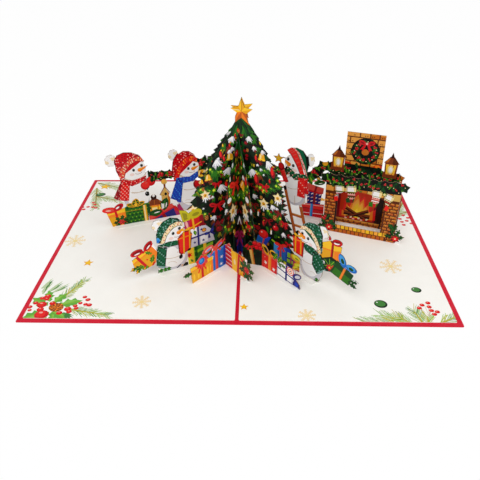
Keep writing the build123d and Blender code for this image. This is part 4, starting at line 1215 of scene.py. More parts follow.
def print_scene_left(pen):
    """Gifts, the first snowman, lantern, birdhouse, a tilted gift, the second snowman and garland."""
    pen.box("snow", -106, -1, -82, 60)
    pen.face("fir", (-82, 40), (-58, 37), (-58, 50), (-82, 50))
    # First snowman
    snowman_body(pen, -93.9, 25.6, 11.6, 15.2, 1)
    # A painted highlight on the upper body.
    pen.oval("snow", -91.4, 35.4, 7.2, 5.2, -10, 18)
    pen.arc("warm_shade_and_line", 0.6, -91.2, 31.2, 6.2, 200, 342, 0.3)
    pen.arc("warm_shade_and_line", 0.5, -96, 15.4, 6, 200, 300, 0.5)
    pen.oval("coal", -84.6, 26.7, 2, 2.2, 0, 12)
    # A painted glint on the button.
    pen.oval("shade_grey", -85.2, 27.5, 0.4, 0.5, 0, 6)
    pen.line("line", 0.35, (-81, 34), (-79.4, 25))
    snowman_face(
        pen, (-93.6, 50.4), (11, 9.6), [(-93, 50.4), (-86.1, 53.6)], [(-88.4, 49.7), (-81.1, 52.8)], 1
    )
    pompom_print(pen, -109.5, 61.4, 5, 5.4)
    crown = [
        (-105.4, 43.2), (-107.6, 52), (-107.2, 61.4), (-104.6, 65.8), (-99, 67.6), (-93, 66.8),
        (-86.6, 63.4), (-82.8, 57.6),
    ]
    knit_hat(
        pen, crown, [(-106.4, 45.4), (-103.6, 52.6), (-99.6, 57.6), (-94.4, 61), (-88.6, 62.4), (-83, 59.8)],
        [(-101.8, 43.2), (-99.2, 50.6), (-95.3, 55.2), (-90.4, 57.9), (-84, 57)],
        "red", "wine", "pink", "coral", ("flake", "red", "cream", "orange", "flake"), 21,
    )
    stitches = ("pink", "wine", "red", "pink", "scarlet")
    knit(
        pen, [(-105.4, 44.4), (-105.6, 39.2), (-96, 36), (-83.8, 39.4), (-83.6, 43.8), (-95, 41.2)], "red",
        "wine", stitches, 22,
    )
    knit(
        pen, [(-105.4, 41.4), (-113, 27.8), (-108.6, 24.4), (-103.4, 38)], "wine", "wine",
        ("pink", "red", "wine"), 23,
    )
    knit(
        pen, [(-104.6, 40.4), (-108.4, 24.6), (-100.6, 22.6), (-97.6, 38.6)], "scarlet", "red",
        ("wine", "pink", "scarlet", "pink"), 24,
    )
    # Two red balls, each with a lighter centre and a coral painted highlight.
    several(
        pen.oval, ("red", -80.6, 37.8, 4.4, 4.3, 0, 16), ("scarlet", -80, 39.2, 3.2, 3, 0, 14),
        ("red", -85.4, 34.9, 3.9, 4.2, 0, 16), ("scarlet", -85, 35.6, 3, 3.2, 0, 14),
        ("coral", -84.2, 37, 1.2, 0.8, 20, 8), ("coral", -79.6, 41, 1.3, 0.8, 20, 8),
        ("coal", -83.4, 31.4, 1.4, 0.8, 20, 8),
    )
    # Lantern, birdhouse and first garland
    garland(pen, [(-79.6, 43.4), (-73, 41.6), (-60, 41.8)], 3.3, 31)
    for x, y in ((-71.6, 42.6), (-63.4, 42.2)):
        berries(pen, x, y, 1.2, 4)
    pen.dot("trunk", -69.4, 35.6, 2.6, 14)
    pen.dot("apricot", -69.8, 36.2, 1.4, 9)
    pen.box("wood", -70.2, 28.5, -68.6, 33.4)
    pen.face("trunk", (-74, 13), (-74, 23), (-69.4, 30), (-65.6, 23), (-66, 13))
    # Painted shade down the birdhouse's right side.
    pen.face("brick", (-68, 13), (-67.4, 26), (-65.6, 23), (-66, 13))
    pen.line("wood", 1.1, (-75, 22.8), (-69.4, 31), (-64.6, 23.6))
    pen.oval("coal", -69.2, 23.6, 1.2, 1.5, 0, 10)
    for x, y in ((-71.6, 22.4), (-69, 19.6), (-68.8, 17.4)):
        pen.dot("coal", x, y, 0.42, 6)
    pen.face("red", (-63.8, 21), (-66.6, 29), (-62.8, 30.6), (-60.6, 34))
    pen.box("orange", -86.6, -1, -73.4, 15)
    pen.box("yellow", -84.8, -1, -74.6, 13)
    pen.box("cream", -82.2, 1, -78, 12)
    for x in (-85.9, -83, -77, -73.9):
        pen.line("ladder", 0.7, (x, -1), (x, 15.6))
    pen.face("wood", (-88, 14.4), (-82.4, 21.4), (-77.4, 21.6), (-71.8, 16.6), (-72.4, 14.4))
    pen.line("soot", 0.5, (-87.4, 14.6), (-82.4, 21.2))
    for x in (-81.8, -79.2, -76.4):
        pen.line("brick", 0.4, (x - 0.4 + 0.18 * (x + 80), 20.6), (x - 1.6 + (x + 80), 15))
    pen.dot("soot", -79.8, 22.6, 3, 14)
    pen.dot("snow", -79.7, 23.8, 1.2, 9)
    pen.line("soot", 0.9, (-83, 20.6), (-76.4, 21.2))
    # Garland behind the tree, with two bells and a beam under its end
    pen.face("fir", (-44, 49), (-28, 49), (-29, 33), (-42, 31))
    pen.line("trunk", 1.6, (-36, 40.6), (-26, 38.6))
    for x, tilt in ((-37.6, -12), (-33.2, 14)):
        bell(pen, x, 38.4, 5.4, tilt)
        pen.oval("wood", x + 0.6, 38, 0.9, 1.6, tilt, 8)
    garland(pen, [(-39.6, 47.2), (-31, 49), (-14, 45.6), (1, 44.2)], 3.9, 32)
    berries(pen, -37.4, 46.8, 1.3, 4)
    # Second snowman
    pen.box("snow", -60, -1, -40.4, 38)
    snowman_body(pen, -49.4, 20, 11.4, 15.8, 1)
    # A painted highlight on the upper body.
    pen.oval("snow", -47, 29.4, 6, 5.2, -12, 16)
    pen.arc("warm_shade_and_line", 0.6, -47, 25.8, 6.2, 200, 345, 0.34)
    pen.arc("warm_shade_and_line", 0.5, -52, 7.6, 5.4, 20, 150, 0.7)
    pen.arc("warm_shade_and_line", 0.5, -44, 7.6, 4.4, 20, 150, 0.7)
    pen.oval("coal", -42.4, 20.2, 1.5, 2.3, -14, 12)
    snowman_face(
        pen, (-48.4, 44.6), (9.6, 8.8), [(-47.7, 44.2), (-42.4, 47.1)], [(-43.9, 43.4), (-38.6, 45.4)], 1
    )
    pompom_print(pen, -59.3, 58.4, 4.6, 5.2)
    crown = [
        (-61, 33.4), (-62.6, 44), (-61, 53), (-56.4, 59.2), (-51, 61.6), (-45.8, 60.8), (-41.4, 57.2),
        (-39.2, 52),
    ]
    knit_hat(
        pen, crown, [(-60.8, 35.4), (-58.4, 44), (-54.4, 50.6), (-49.4, 55), (-44, 56), (-39.6, 53)],
        [(-56.8, 35.2), (-55, 41.4), (-51.6, 46.4), (-47.4, 49.8), (-43, 50.4), (-40, 48.8)],
        "red", "wine", "pink", "scarlet", ("orange", "coral", "red", "apricot"), 25,
    )
    blues = ("royal", "sky", "royal", "blue")
    knit(
        pen, [(-59, 37.2), (-54.4, 31), (-44, 31.8), (-39.4, 34.8), (-39.6, 40.8), (-47, 36.6)], "royal",
        "navy", blues, 26,
    )
    knit(
        pen, [(-58.8, 36.8), (-65.8, 18.2), (-56.6, 12.4), (-53, 33)], "royal", "navy", blues, 27,
        ("royal", (-65, 17.6), (-57, 13.2)),
    )
    pen.oval("wine", -40.8, 28, 3.8, 4.6, 14, 16)
    pen.oval("red", -40.6, 28.8, 2.6, 3.2, 14, 12)
    # Gifts on the ground
    box = pen.at(-118.4, 0, 1, 6)
    box.face("gold", (-3, -2), (15.4, -3), (15.4, 16.4), (-4, 16.4))
    box.face("orange", (-3, 9.4), (15.4, 9), (15.4, 11.4), (-3, 11.8))
    box.face("yellow", (-4, 12), (15.4, 11.6), (15.4, 17), (-4, 17))
    # Painted shade down the right side of the parcel.
    box.face("orange", (11, -2), (15.4, -2), (15.4, 10), (12, 10))
    box.box("red", 5.6, -2, 7.6, 16.6)
    for place, (outer, inner, shine) in (
        ((-118, 16.8, 6.4, 3.2, -4), ("scarlet", "coral", "pink")),
        ((-110, 18.4, 5, 3, 32), ("red", "wine", "snow")),
    ):
        loops(
            pen, [place], (outer, 0, 0, 1, 1, 18), (inner, 0.2, 0, 0.6, 0.5, 10),
            (shine, -1, -0.4, 0.36, 0.26, 8),
        )
    pen.box("leaf", -105.2, -1, -84, 18)
    for row in range(5):
        for column in range(6):
            x, y = -103 + 3.4 * column + 1.7 * (row % 2), 1.4 + 3.6 * row
            pen.star("holly", x, y, 1.9, 6, 0.5, 20 * row)
            pen.oval("lime", x + 1.4, y + 1.2, 0.6, 0.4, 40, 6)
    pen.face("holly", (-87, -1), (-84, -1), (-84, 17), (-86, 17))
    pen.box("gold", -90, -1, -87, 16.4)
    pen.box("cream", -89.4, -1, -88.2, 16.4)
    pen.box("olive_shade", -105.2, 12.4, -90, 13.2)
    for x, y, rx, ry, tilt in (
        (-99, 18.2, 4.6, 2.1, -14), (-92.2, 18.4, 4.6, 2.1, 16), (-96.8, 20.4, 3.6, 1.8, 60),
        (-94, 20.8, 3.4, 1.7, 110),
    ):
        pen.oval("gold", x, y, rx, ry, tilt)
        pen.oval("holly", x, y, 0.78 * rx, 0.6 * ry, tilt, 9)
        pen.line("olive", 0.5, (x - 0.5 * rx, y), (x + 0.5 * rx, y))
    pen.dot("yellow", -95.6, 17.8, 1.2, 8)
    for heading in (30, 75, 130, 180, 220, 320, 0):
        leaf(pen, -109.6, 3.6, 7.4, heading, "holly" if heading % 60 else "fir", "leaf")
    pen.star("red", -109.4, 3.4, 3.6, 6, 0.5, 60)
    pen.star("coral", -109.4, 3.4, 2.2, 6, 0.4, 90)
    berries(pen, -109.4, 3.4, 0.7)
    # Tilted gift
    tilted = pen.at(-83.6, 0.2, 1, 24)
    tilted.face("navy", (1, -9), (27, -10), (27, 0.6), (1, 0.6))
    tilted.face("magenta", (20, -10), (28, -10), (28, 0.6), (21.5, 0.6))
    tilted.box("wine", 9.4, -8, 12.2, 1)
    tilted.face("coral", (-1.6, -0.6), (22.4, -0.6), (22.8, 5.6), (-1.6, 4.4))
    tilted.face("red", (-1.6, -0.6), (22.4, -0.6), (22.4, 0.6), (-1.6, 0.6))
    tilted.box("red", 10, -0.6, 12.2, 5.4)
    plain_leaf(pen, -73.4, 7.4, 13, 182, "holly", "leaf", 0.34)
    plain_leaf(pen, -72.4, 7.4, 13.4, 74, "holly", "leaf", 0.34)
    pen.oval("snow", -78.6, 6.9, 2.6, 0.5, 8, 9)
    pen.oval("snow", -69.8, 12.8, 0.5, 2.6, -16, 9)
    pen.face("red", (-64.2, 11.6), (-60.6, 9.6), (-58.6, 3), (-62.6, 6))


def print_scene_right(pen):
    """The garland, the gift stack, and the fireplace's back wall up to its chimney."""
    bricks(pen, 78, -1, 138, 53, 4.6, 9.4, 41)
    pen.face("fir", (57, 33), (66, 33), (79, 44), (79, 60), (64, 56), (57, 46))
    # Chimney
    bricks(pen, 87, 49, 119, 84.5, 5.4, 9.8, 42, ("lit_brick", "brick", "lit_brick"))
    # Painted glow of the lanterns on the bricks beside them.
    pen.oval("ember", 90.5, 55.5, 3.6, 2.6, 0, 12)
    pen.oval("ember", 115, 56, 4.2, 2.8, 0, 12)
    pen.oval("orange", 114.2, 57, 2.2, 1.3, 0, 9)
    print_wreath(pen, 103.3, 68.4)
    # Hearth: a firebox in painted shade, glow, flames, logs and ash
    several(pen.box, ("soot", 84, -1, 124, 38), ("wine", 86.4, 5, 118.6, 36), ("ember", 88.6, 6, 117, 34))
    for scale, name in (
        (1.3, "scarlet"), (1.12, "carrot"), (0.92, "apricot"), (0.72, "yellow"), (0.46, "flame")
    ):
        blaze = pen.at(103.8, 7.5, scale)
        blaze.face(
            name, (-11.4, 0), (-11.6, 5), (-9.4, 3.4), (-8.6, 11), (-6.2, 7.4), (-4.4, 15), (-0.8, 20),
            (1.2, 13.4), (3.4, 17),
            (4.8, 9.6), (7.4, 13), (8.6, 5.6), (11.2, 8.6), (11.8, 0),
        )
    for ends, width in (
        (((92.6, 10.8), (114.4, 10)), 4), (((94, 15.4), (112, 6.4)), 3), (((112.6, 15.6), (95, 6.2)), 3)
    ):
        pen.line("soot", width, *ends)
        # A painted highlight along the top of each dark log.
        pen.line("wood", 0.4 * width, *[(x, y + 0.7) for x, y in ends])
    for i in range(9):
        pen.oval(
            ("pink", "ember", "flake")[i % 3], 94.6 + 2.2 * i, 5.8 + 0.7 * (i % 3), 1.2, 0.8, 20 * (i % 3),
            8,
        )
    bricks(pen, 84, -1, 123, 4.6, 2.9, 5.6, 43)
    # A painted highlight along the hearth's front edge.
    pen.box("lit_brick", 84, 3.9, 123, 4.9)
    # Mantel
    pen.box("joint_and_shade", 77.5, 43, 130.5, 49)
    garland(pen, [(76.4, 50.4), (92, 50), (112, 49.8), (131.6, 49.6)], 3.9, 44)
    for x in (83.2, 124.2):
        lantern(pen, x)
    # Garland behind the tree and the ladder
    garland(pen, [(-1, 44.2), (18, 42), (40, 38.6), (59, 38), (66, 43), (71.5, 50.2), (77, 50.4)], 3.9, 45)
    bell(pen, 68.6, 38, 2.6, 10)
    berries(pen, 64, 44, 1.1, 4)
    pen.dot("gold", 73, 53.4, 2.4, 10)
    # Gift stack
    pen.box("leaf", 61.5, 31, 77, 37.6)
    pen.box("scarlet", 54, -1, 76.4, 14.6)
    pen.box("red", 54, -1, 76.4, 8.4)
    pen.box("wine", 54, 7.8, 76.4, 8.6)
    pen.line("snow", 0.5, (55, 3), (76, 4.6))
    pen.line("pink", 0.8, (55, 11.6), (76, 12.6))
    pen.box("sky", 63.4, -1, 65.8, 14.4)
    pen.box("blue", 64.8, -1, 65.8, 14.4)
    pen.face("navy", (58.4, 12.6), (59, 27), (73.2, 27), (72.4, 14))
    for row in range(3):
        for column in range(4):
            x, y = 60.8 + 3.4 * column, 15.8 + 3.6 * row
            pen.line("snow" if (row + column) % 2 else "pink", 0.9, (x - 0.9, y - 0.3), (x + 0.9, y + 0.7))
    pen.box("wine", 65.4, 13, 67.4, 27)
    pen.face("coral", (58.2, 25.6), (58.4, 33.6), (74.6, 30.6), (74.2, 23.6))
    pen.face("red", (58.2, 25.4), (58.2, 27), (74.2, 25), (74.2, 23.4))
    pen.line("wine", 1.7, (66.4, 25), (67.6, 31.8))
    plain_leaf(pen, 66.8, 31.2, 11.5, 122, "leaf", "lime", 0.34)
    plain_leaf(pen, 66.4, 31, 10.5, 30, "holly", "leaf", 0.34)
    pen.oval("snow", 70.6, 34.2, 1.6, 0.4, 20, 8)


def print_wreath(pen, x, y):
    """A round holly wreath with berries, lights and a red bow."""
    chance = Random(7)
    pen.dot("night", x, y, 11, 30)
    for i in range(60):
        turn = radians(6 * i + chance.uniform(-4, 4))
        reach = chance.uniform(4.6, 8.6)
        heading = degrees(turn) + chance.choice((-1, 1)) * chance.uniform(10, 80)
        leaf(
            pen, x + reach * cos(turn), y + reach * sin(turn), 3.8, heading,
            ("holly", "fir", "leaf", "holly")[i % 4], None,
        )
    pen.oval("brick", x, y - 0.6, 2.8, 2.6, 0, 16)
    for i in range(11):
        turn = radians(33 * i)
        berries(
            pen, x + chance.uniform(6, 8.6) * cos(turn), y + chance.uniform(6, 8.6) * sin(turn), 0.72,
            2 + i % 3,
        )
        pen.dot("cream", x + 8.4 * cos(turn + 0.3), y + 8.4 * sin(turn + 0.3), 0.45, 6)
    bow(pen, x + 0.4, y + 6.2, 6, "red", "wine")
    pen.dot("pink", x + 0.4, y + 6.6, 1, 8)


def stocking(pen, x, y, tilt, side, leg, marks, tip, scale=1):
    """A hanging stocking. Its toe points to the given side."""
    p = pen.at(x, y, scale, tilt)
    p.face(
        leg,
        *[
            (side * a, b) for a,
            b in ((-3.1, 0), (3.1, 0), (2.9, -9), (4.6, -11), (4.2, -14.7), (-1.6, -14.5), (-3.1, -9))
        ]
    )
    for row in range(4):
        low = -5.6 - 1.8 * row
        p.box(marks[row % len(marks)], -3.1, low, 3.1, low + 0.9)
        for column in range(4):
            p.dot("wine" if row % 2 else "flake", 1.6 * column - 2.4, low - 0.4, 0.36, 5)
    p.face(tip, *[(side * a, b) for a, b in ((1.6, -9.6), (4.8, -10.8), (4.4, -15), (0.6, -14.8))])
    p.face(tip, *[(side * a, b) for a, b in ((-3.2, -9.6), (-1.4, -10.6), (-1, -14.8), (-3, -12))])
    p.face("snow", (-3.8, 0.5), (3.8, 0.5), (3.7, -4.3), (-3.7, -4.3))
    # Painted shade on the cuff: a cream band down its right side, warm shade at its left edge, and darker
    # lines along its top and bottom.
    p.face("cream", (1.6, 0.5), (3.8, 0.5), (3.7, -4.3), (2.2, -4.3))
    p.face("warm_shade_and_line", (-3.8, 0.5), (-2.6, 0.5), (-2.9, -4.3), (-3.7, -4.3))
    for y in (-4.3, 0.1):
        p.box("olive_shade", -3.8, y - 0.5, 3.8, y)


def print_fireplace(pen):
    """The front: brick pillars, arched lintel, hearth strip, garland, stockings and holly at its feet."""
    pen.box("fir", -10, 45, 60, 56)
    bricks(pen, -6, -1, 5.6, 45, 2.9, 5, 51, ("ladder", "brick", "ladder"))
    bricks(pen, 41.6, -1, 54, 45, 2.9, 5, 52)
    # Painted shade on the pillars' inner sides, along the arch.
    pen.face("soot", (3.8, 7), (5.6, 7), (5.6, 37), (3.8, 36))
    pen.face("joint_and_shade", (41, 7), (43.2, 7), (43.2, 36), (41, 37))
    # Lintel of standing stones over the arch
    pen.face(
        "joint_and_shade", (-6, 36.6), (5.2, 36.6), (12, 39.8), (23.6, 41.2), (35, 39.8), (42, 36.6), (54, 36.6),
        (54, 48), (-6, 48),
    )
    for i in range(9):
        x = -5 + 6.5 * i
        low = 38 + 2.2 * cos((x + 3 - 23.6) / 30 * pi / 2)
        pen.face(("lit_brick", "brick", "trunk")[i % 3], (x, low), (x + 6, low), (x + 6.1, 46), (x, 46))
        # A painted highlight along the top of each stone.
        pen.box("lit_brick", x + 0.4, 44, x + 5.4, 45.2)
    # Hearth strip
    pen.box("joint_and_shade", -1, -1, 47, 8)
    for i in range(14):
        x = 0.2 + 3.4 * i
        pen.face(
            ("yellow", "gold", "apricot")[i % 3], (x, 4.2), (x + 2.8, 4.2), (x + 2.6, 7.6), (x - 0.2, 7.6)
        )
        pen.box("brick" if i % 2 else "ladder", x - 1.6, -1, x + 1.2, 3.6)
    garland(pen, [(-6.4, 49.4), (12, 48.8), (34, 49.4), (54, 50.6)], 3.8, 53)
    # Stockings
    holly(pen, 20.6, 40.8, 3.4)
    plain_leaf(pen, 29.6, 40, 5.4, 190, "fir", "holly")
    stocking(pen, 5.5, 43.4, 4, -1, "shade_grey", ("holly", "red"), "scarlet", 0.9)
    stocking(pen, 14.6, 44.6, 6, -1, "wine", ("holly", "pink"), "holly")
    stocking(pen, 34.8, 44.2, -4, -1, "red", ("snow", "pink"), "leaf")
    stocking(pen, 45, 42.4, -20, 1, "holly", ("flake", "red"), "scarlet", 0.9)
    light(pen, 40.4, 42.6, 1.4)
    pen.dot("cream", 40.4, 42.6, 1, 8)
    leaf(pen, 5.2, 44.2, 3.6, 120, "leaf")
    leaf(pen, 6.2, 44, 3.4, 40)
    # Holly at the feet
    for x, y, headings in (
        (-1, 4, (128, 180, 62, 30, 0)), (-4, 9, (108, 150, 60)), (54, 5, (172, 66, 14, 120, 38)),
        (53, 11, (84, 130, 50)),
    ):
        for heading in headings:
            leaf(pen, x, y, 9.2, heading, "holly" if heading % 4 else "fir", "leaf")
    for x, y in ((0.4, 3.8), (54.4, 4.2)):
        pen.star("wine", x, y, 4.2, 6, 0.55)
        pen.star("scarlet", x, y, 3.2, 6, 0.5, 60)
        pen.dot("cream", x, y, 0.8, 7)
    berries(pen, -4.4, 12.4, 1.2)


def print_side_wall(pen):
    bricks(pen, -6, -1, 22, 48, 2.9, 5.4, 54)


def print_ladder(pen):
    """The snowman that hangs a star, on its ladder."""
    pen.box("fir", 36, -1, 60, 36)
    for x, y, heading in ((50, 26, 60), (53, 15, 120), (51, 6, 80), (55, 5, 130)):
        sprig(pen, x, y, 6, heading, "holly")
    pen.dot("yellow", 53, 25.6, 1.5, 9)
    pen.dot("snow", 53.6, 26.2, 0.8, 7)
    for h in (11, 21, 31):
        pen.line("ladder", 2.4, (47.6 - 0.25 * h, h + 0.9), (60.4 - 0.26 * h, h - 0.9))
        # A painted highlight along the top of each rung.
        pen.line("lit_brick", 0.7, (48 - 0.25 * h, h + 1.6), (60 - 0.26 * h, h))
    pen.line("ladder", 2.9, (37.2, 48), (49.4, -0.6))
    # Painted shade along the rails.
    pen.line("joint_and_shade", 0.8, (36.6, 46), (48.3, -0.6))
    pen.line("ladder", 2.9, (50.2, 36), (59.6, -0.6))
    pen.line("joint_and_shade", 0.8, (51.8, 36), (60.8, -0.6))
    pen.box("snow", 37.4, 30, 57, 60)
    snowman_body(pen, 46.8, 43.4, 9.2, 13.4, -1)
    # Painted highlights on the body.
    pen.oval("snow", 43.4, 49.4, 5.4, 5, 20, 16)
    pen.oval("snow", 46.2, 39, 6.4, 6.6, 0, 16)
    pen.line("ladder", 2.6, (37.6, 46.4), (42.6, 26))
    # Painted shade along the rail.
    pen.line("joint_and_shade", 0.6, (36.5, 46), (41.4, 26))
    pen.arc("warm_shade_and_line", 0.5, 43.9, 46, 4.2, 200, 340, 0.34)
    pen.line("warm_shade_and_line", 0.5, (46.4, 39), (46.8, 31))
    pen.oval("coal", 38.2, 44.4, 1.3, 2, 10, 10)
    snowman_face(
        pen, (44.4, 64.4), (7.2, 9.2), [(39.6, 69.4), (43.9, 64.7)], [(40.6, 64.9), (35.3, 69.6)], -1
    )
    pompom_print(pen, 57, 71.4, 3.6, 5.6)
    pen.face(
        "wool", (44, 78), (46, 80.4), (51.6, 78.8), (55.4, 73.8), (56.8, 66), (55.6, 58), (51.6, 64),
        (48, 72),
    )
    pen.face("night", (50, 79), (51.6, 78.8), (55.4, 73.8), (56.8, 66), (55.6, 58), (54.4, 66), (53, 73))
    pen.line("pink", 1.4, (43.4, 79), (47.8, 75.4), (52, 66.4), (54.8, 57.6))
    for i in range(7):
        x, y = along([(43.4, 79), (47.8, 75.4), (52, 66.4), (54.8, 57.6)], (i + 0.5) / 7)
        pen.oval("red", x, y, 0.5, 0.5, 0, 6)
    brim_a = [(41.8, 80), (46, 76.4), (50, 67.6), (53.6, 57.2)]
    brim_b = [(37.6, 76.6), (41.4, 74), (46.6, 65.4), (50.6, 56.4)]
    pen.face("scarlet", *brim_a, *reversed(brim_b))
    for i in range(9):
        a, b = along(brim_a, (i + 0.5) / 9), along(brim_b, (i + 0.5) / 9)
        pen.line(
            "coral", 0.9, (a[0] * 0.8 + b[0] * 0.2, a[1] * 0.8 + b[1] * 0.2),
            (a[0] * 0.2 + b[0] * 0.8, a[1] * 0.2 + b[1] * 0.8),
        )
    pen.line("wine", 0.6, *brim_b)
    knit(
        pen, [(37, 61.6), (45.4, 52.6), (56.8, 54.8), (55.4, 59), (46, 58.4), (39.4, 64)], "wool", "night",
        ("pink", "leaf", "night"), 61,
    )
    tail = ("pink", "scarlet", "red", "scarlet")
    knit(pen, [(52.6, 55.4), (53.6, 42), (57.8, 42.4), (56.6, 56)], "red", "wine", tail, 63)
    knit(pen, [(48.2, 55.4), (48.2, 39), (54.6, 38.2), (54.4, 55.4)], "scarlet", "red", tail, 62)
    pen.line("red", 4.2, (34.2, 61.4), (38.8, 49.4))
    pen.line("scarlet", 2, (34.8, 60.6), (38.4, 51.4))
    pen.oval("wine", 34.4, 62.4, 2.8, 3.7, 24, 14)
    pen.oval("red", 34, 62.8, 1.8, 2.6, 24, 10)
    pen.line("coral", 0.7, (35.2, 58.9), (37, 59.8))
    several(pen.star, ("wood", 32, 68.6, 5.2), ("gold", 32, 68.6, 3.9), ("yellow", 31.7, 68.9, 2.3))


def flakes(pen, spots, size):
    for x, y in spots:
        for turn in (0, 60, 120):
            c, s = size * cos(radians(turn)), size * sin(radians(turn))
            pen.line("snow", 0.28 * size, (x - c, y - s), (x + c, y + s))


def print_fence_left(pen):
    # A painted highlight along the blue parcel's left side and top, and painted shade down its right.
    several(pen.box, ("blue", -19, -1, 1, 19.6), ("sky", -19, -1, -15.6, 19.6), ("sky", -19, 17.2, 1, 19.6))
    pen.face("royal", (-3, -1), (1, -1), (1, 19), (-2, 19))
    flakes(pen, ((-14.6, 5), (-4.4, 9.4), (-13.6, 13.4), (-5, 3)), 1.5)
    pen.box("coral", -10.8, -1, -8.2, 19.6)
    pen.box("red", -8.9, -1, -8.2, 19.6)
    for inner, *place in (("pink", -17.2, 22.6, 6, 3.1, 12), ("scarlet", -6.2, 22.2, 7.2, 2.8, 24)):
        loops(
            pen, [place], ("coral", 0, 0, 1, 1, 18), (inner, 0.4, -0.1, 0.6, 0.42, 10),
            ("sky", 0.6, -0.5, 0.36, 0.24, 8),
        )
    pen.line("coral", 1.6, (-11, 20.6), (-15.6, 16.2))
    pen.line("coral", 1.6, (-9, 20.6), (-5, 16.6))
    pen.dot("coral", -10.6, 20.8, 2, 9)
    pen.box("gold", -35.4, -1, -13.2, 15)
    pen.box("yellow", -35.4, 11.6, -13.2, 15)
    pen.box("orange", -35.4, 10.8, -13.2, 11.6)
    for x in (-31.6, -27.6, -18.6, -15.6):
        pen.oval("yellow", x, 5, 0.9, 3.2, 0, 9)
    pen.face("orange", (-16, -1), (-13.2, -1), (-13.2, 11), (-15, 11))
    pen.box("red", -24.8, -1, -22.6, 11)
    for i in range(11):
        turn = 2 * pi * i / 11
        pen.oval(
            "scarlet" if i % 2 else "coral", -23.7 + 4.4 * cos(turn), 15.6 + 4.2 * sin(turn), 2.3, 1.5,
            degrees(turn), 9,
        )
    pen.line("scarlet", 1.3, (-24.6, 12), (-27.6, 6.4))
    pen.line("scarlet", 1.3, (-22.8, 12), (-20, 6.6))
    pen.dot("blue", -23.7, 15.8, 2.9, 12)
    pen.dot("sky", -24.2, 16.4, 1.7, 10)
    plain_leaf(pen, -33.2, 9.4, 9.6, 172, "holly", "leaf", 0.4)


def print_crossing(pen):
    pen.box("red", -1, -1, 10, 22)
    for i in range(5):
        pen.box("coral", -1, 1.2 + 4 * i, 10, 2.4 + 4 * i)
        pen.box("snow", -1, 2.6 + 4 * i, 10, 3.1 + 4 * i)
    pen.arc("coral", 1.8, 5, 18.8, 3, 10, 200)
    pen.arc("pink", 0.7, 5, 19.2, 3, 30, 180)
    parcel = pen.at(8.4, -1, 1, 3)
    parcel.box("gold", 0, -1, 16.4, 20.5)
    # A painted highlight down the gold parcel's left side and painted shade down its right.
    parcel.box("yellow", 0, -1, 5.4, 20.5)
    parcel.oval("cream", 3.4, 9.4, 1.2, 2.6, 0, 9)
    parcel.face("orange", (12.8, -1), (16.4, -1), (16.4, 20.5), (13.8, 20.5))
    parcel.line("red", 1.7, (6, -1), (9.4, 20.6))
    parcel.line("wine", 0.6, (7.2, -1), (10.4, 20.6))
    pen.face("red", (15, 21), (21, 17), (24, 12), (20, 14))
    for heading in (66, 18, -38, 110, 150, 200, -80, 250):
        leaf(pen, 25.6, 9, 9.8, heading, "holly" if heading % 4 else "fir", "leaf")
    pen.star("wine", 25.6, 9, 4.4, 6, 0.5)
    pen.star("scarlet", 25.6, 9, 3.3, 6, 0.5, 60)
    berries(pen, 25.6, 9, 0.85)
    pen.dot("red", 22.4, 4.4, 1.1, 8)


def print_fence_right(pen):
    several(pen.box, ("scarlet", -1, -1, 16, 16), ("coral", -1, 12.2, 16, 16), ("red", -1, 11.6, 16, 12.2))
    # Painted shade down the red parcel's right side.
    pen.face("red", (13.4, -1), (16, -1), (16, 12), (14, 12))
    for x, y in ((4, 5.6), (12.6, 3.4)):
        pen.star("snow", x, y, 2, 6, 0.4)
    pen.dot("pink", 3.2, 10.4, 0.5, 6)
    pen.box("orange", 7, -1, 9.8, 16)
    # A painted highlight down the orange ribbon's left edge.
    pen.box("apricot", 7, -1, 8, 16)
    for x, y, rx, ry, tilt in ((3.6, 17.6, 5.2, 2.8, 132), (11.4, 17.4, 4.3, 3.3, -8)):
        pen.oval("gold", x, y, rx, ry, tilt)
        pen.oval("fir", x + 0.2, y, 0.62 * rx, 0.56 * ry, tilt, 10)
        # A painted highlight along each loop's upper edge.
        pen.arc("yellow", 0.6, x, y, 0.8 * rx, 60, 150, ry / rx)
    pen.dot("orange", 8.2, 15.8, 1.5, 8)
    pen.box("snow", 15.9, -1, 34, 15.6)
    # Painted shade down both sides of the white parcel.
    pen.box("shade_grey", 30.6, -1, 34, 15.6)
    pen.box("shade_grey", 15.9, -1, 16.8, 15.6)
    pen.box("navy", 24.2, -1, 26, 15.6)
    pen.line("navy", 1.1, (15.9, 8.4), (33.6, 5.6))
    pen.line("navy", 0.8, (16, 2.2), (33, 0.4))
    for radius, name in ((3.6, "coral"), (2.8, "snow"), (2.1, "orange"), (1.3, "snow"), (0.7, "wood")):
        pen.dot(name, 28.9, 11.2, radius, 14)
    for x, y, length, heading in ((12, 13, 8.6, 62), (16.5, 12, 8.6, 66), (17, 14, 6, -60), (19, 13, 6, -20)):
        leaf(pen, x, y, length, heading, "leaf" if heading > 0 else "holly", "lime")
    pen.oval("navy", 35.6, 9.8, 4.8, 2.9, 34)
    pen.oval("shade_grey", 35.9, 9.9, 2.9, 1.4, 34, 10)
    pen.face("navy", (31.6, 2), (33.4, 7), (38.9, 4.4), (39.6, -1), (33, -1))
    pen.face("royal", (33.4, 2), (34.6, 5), (37.4, 3.4), (36, 0))


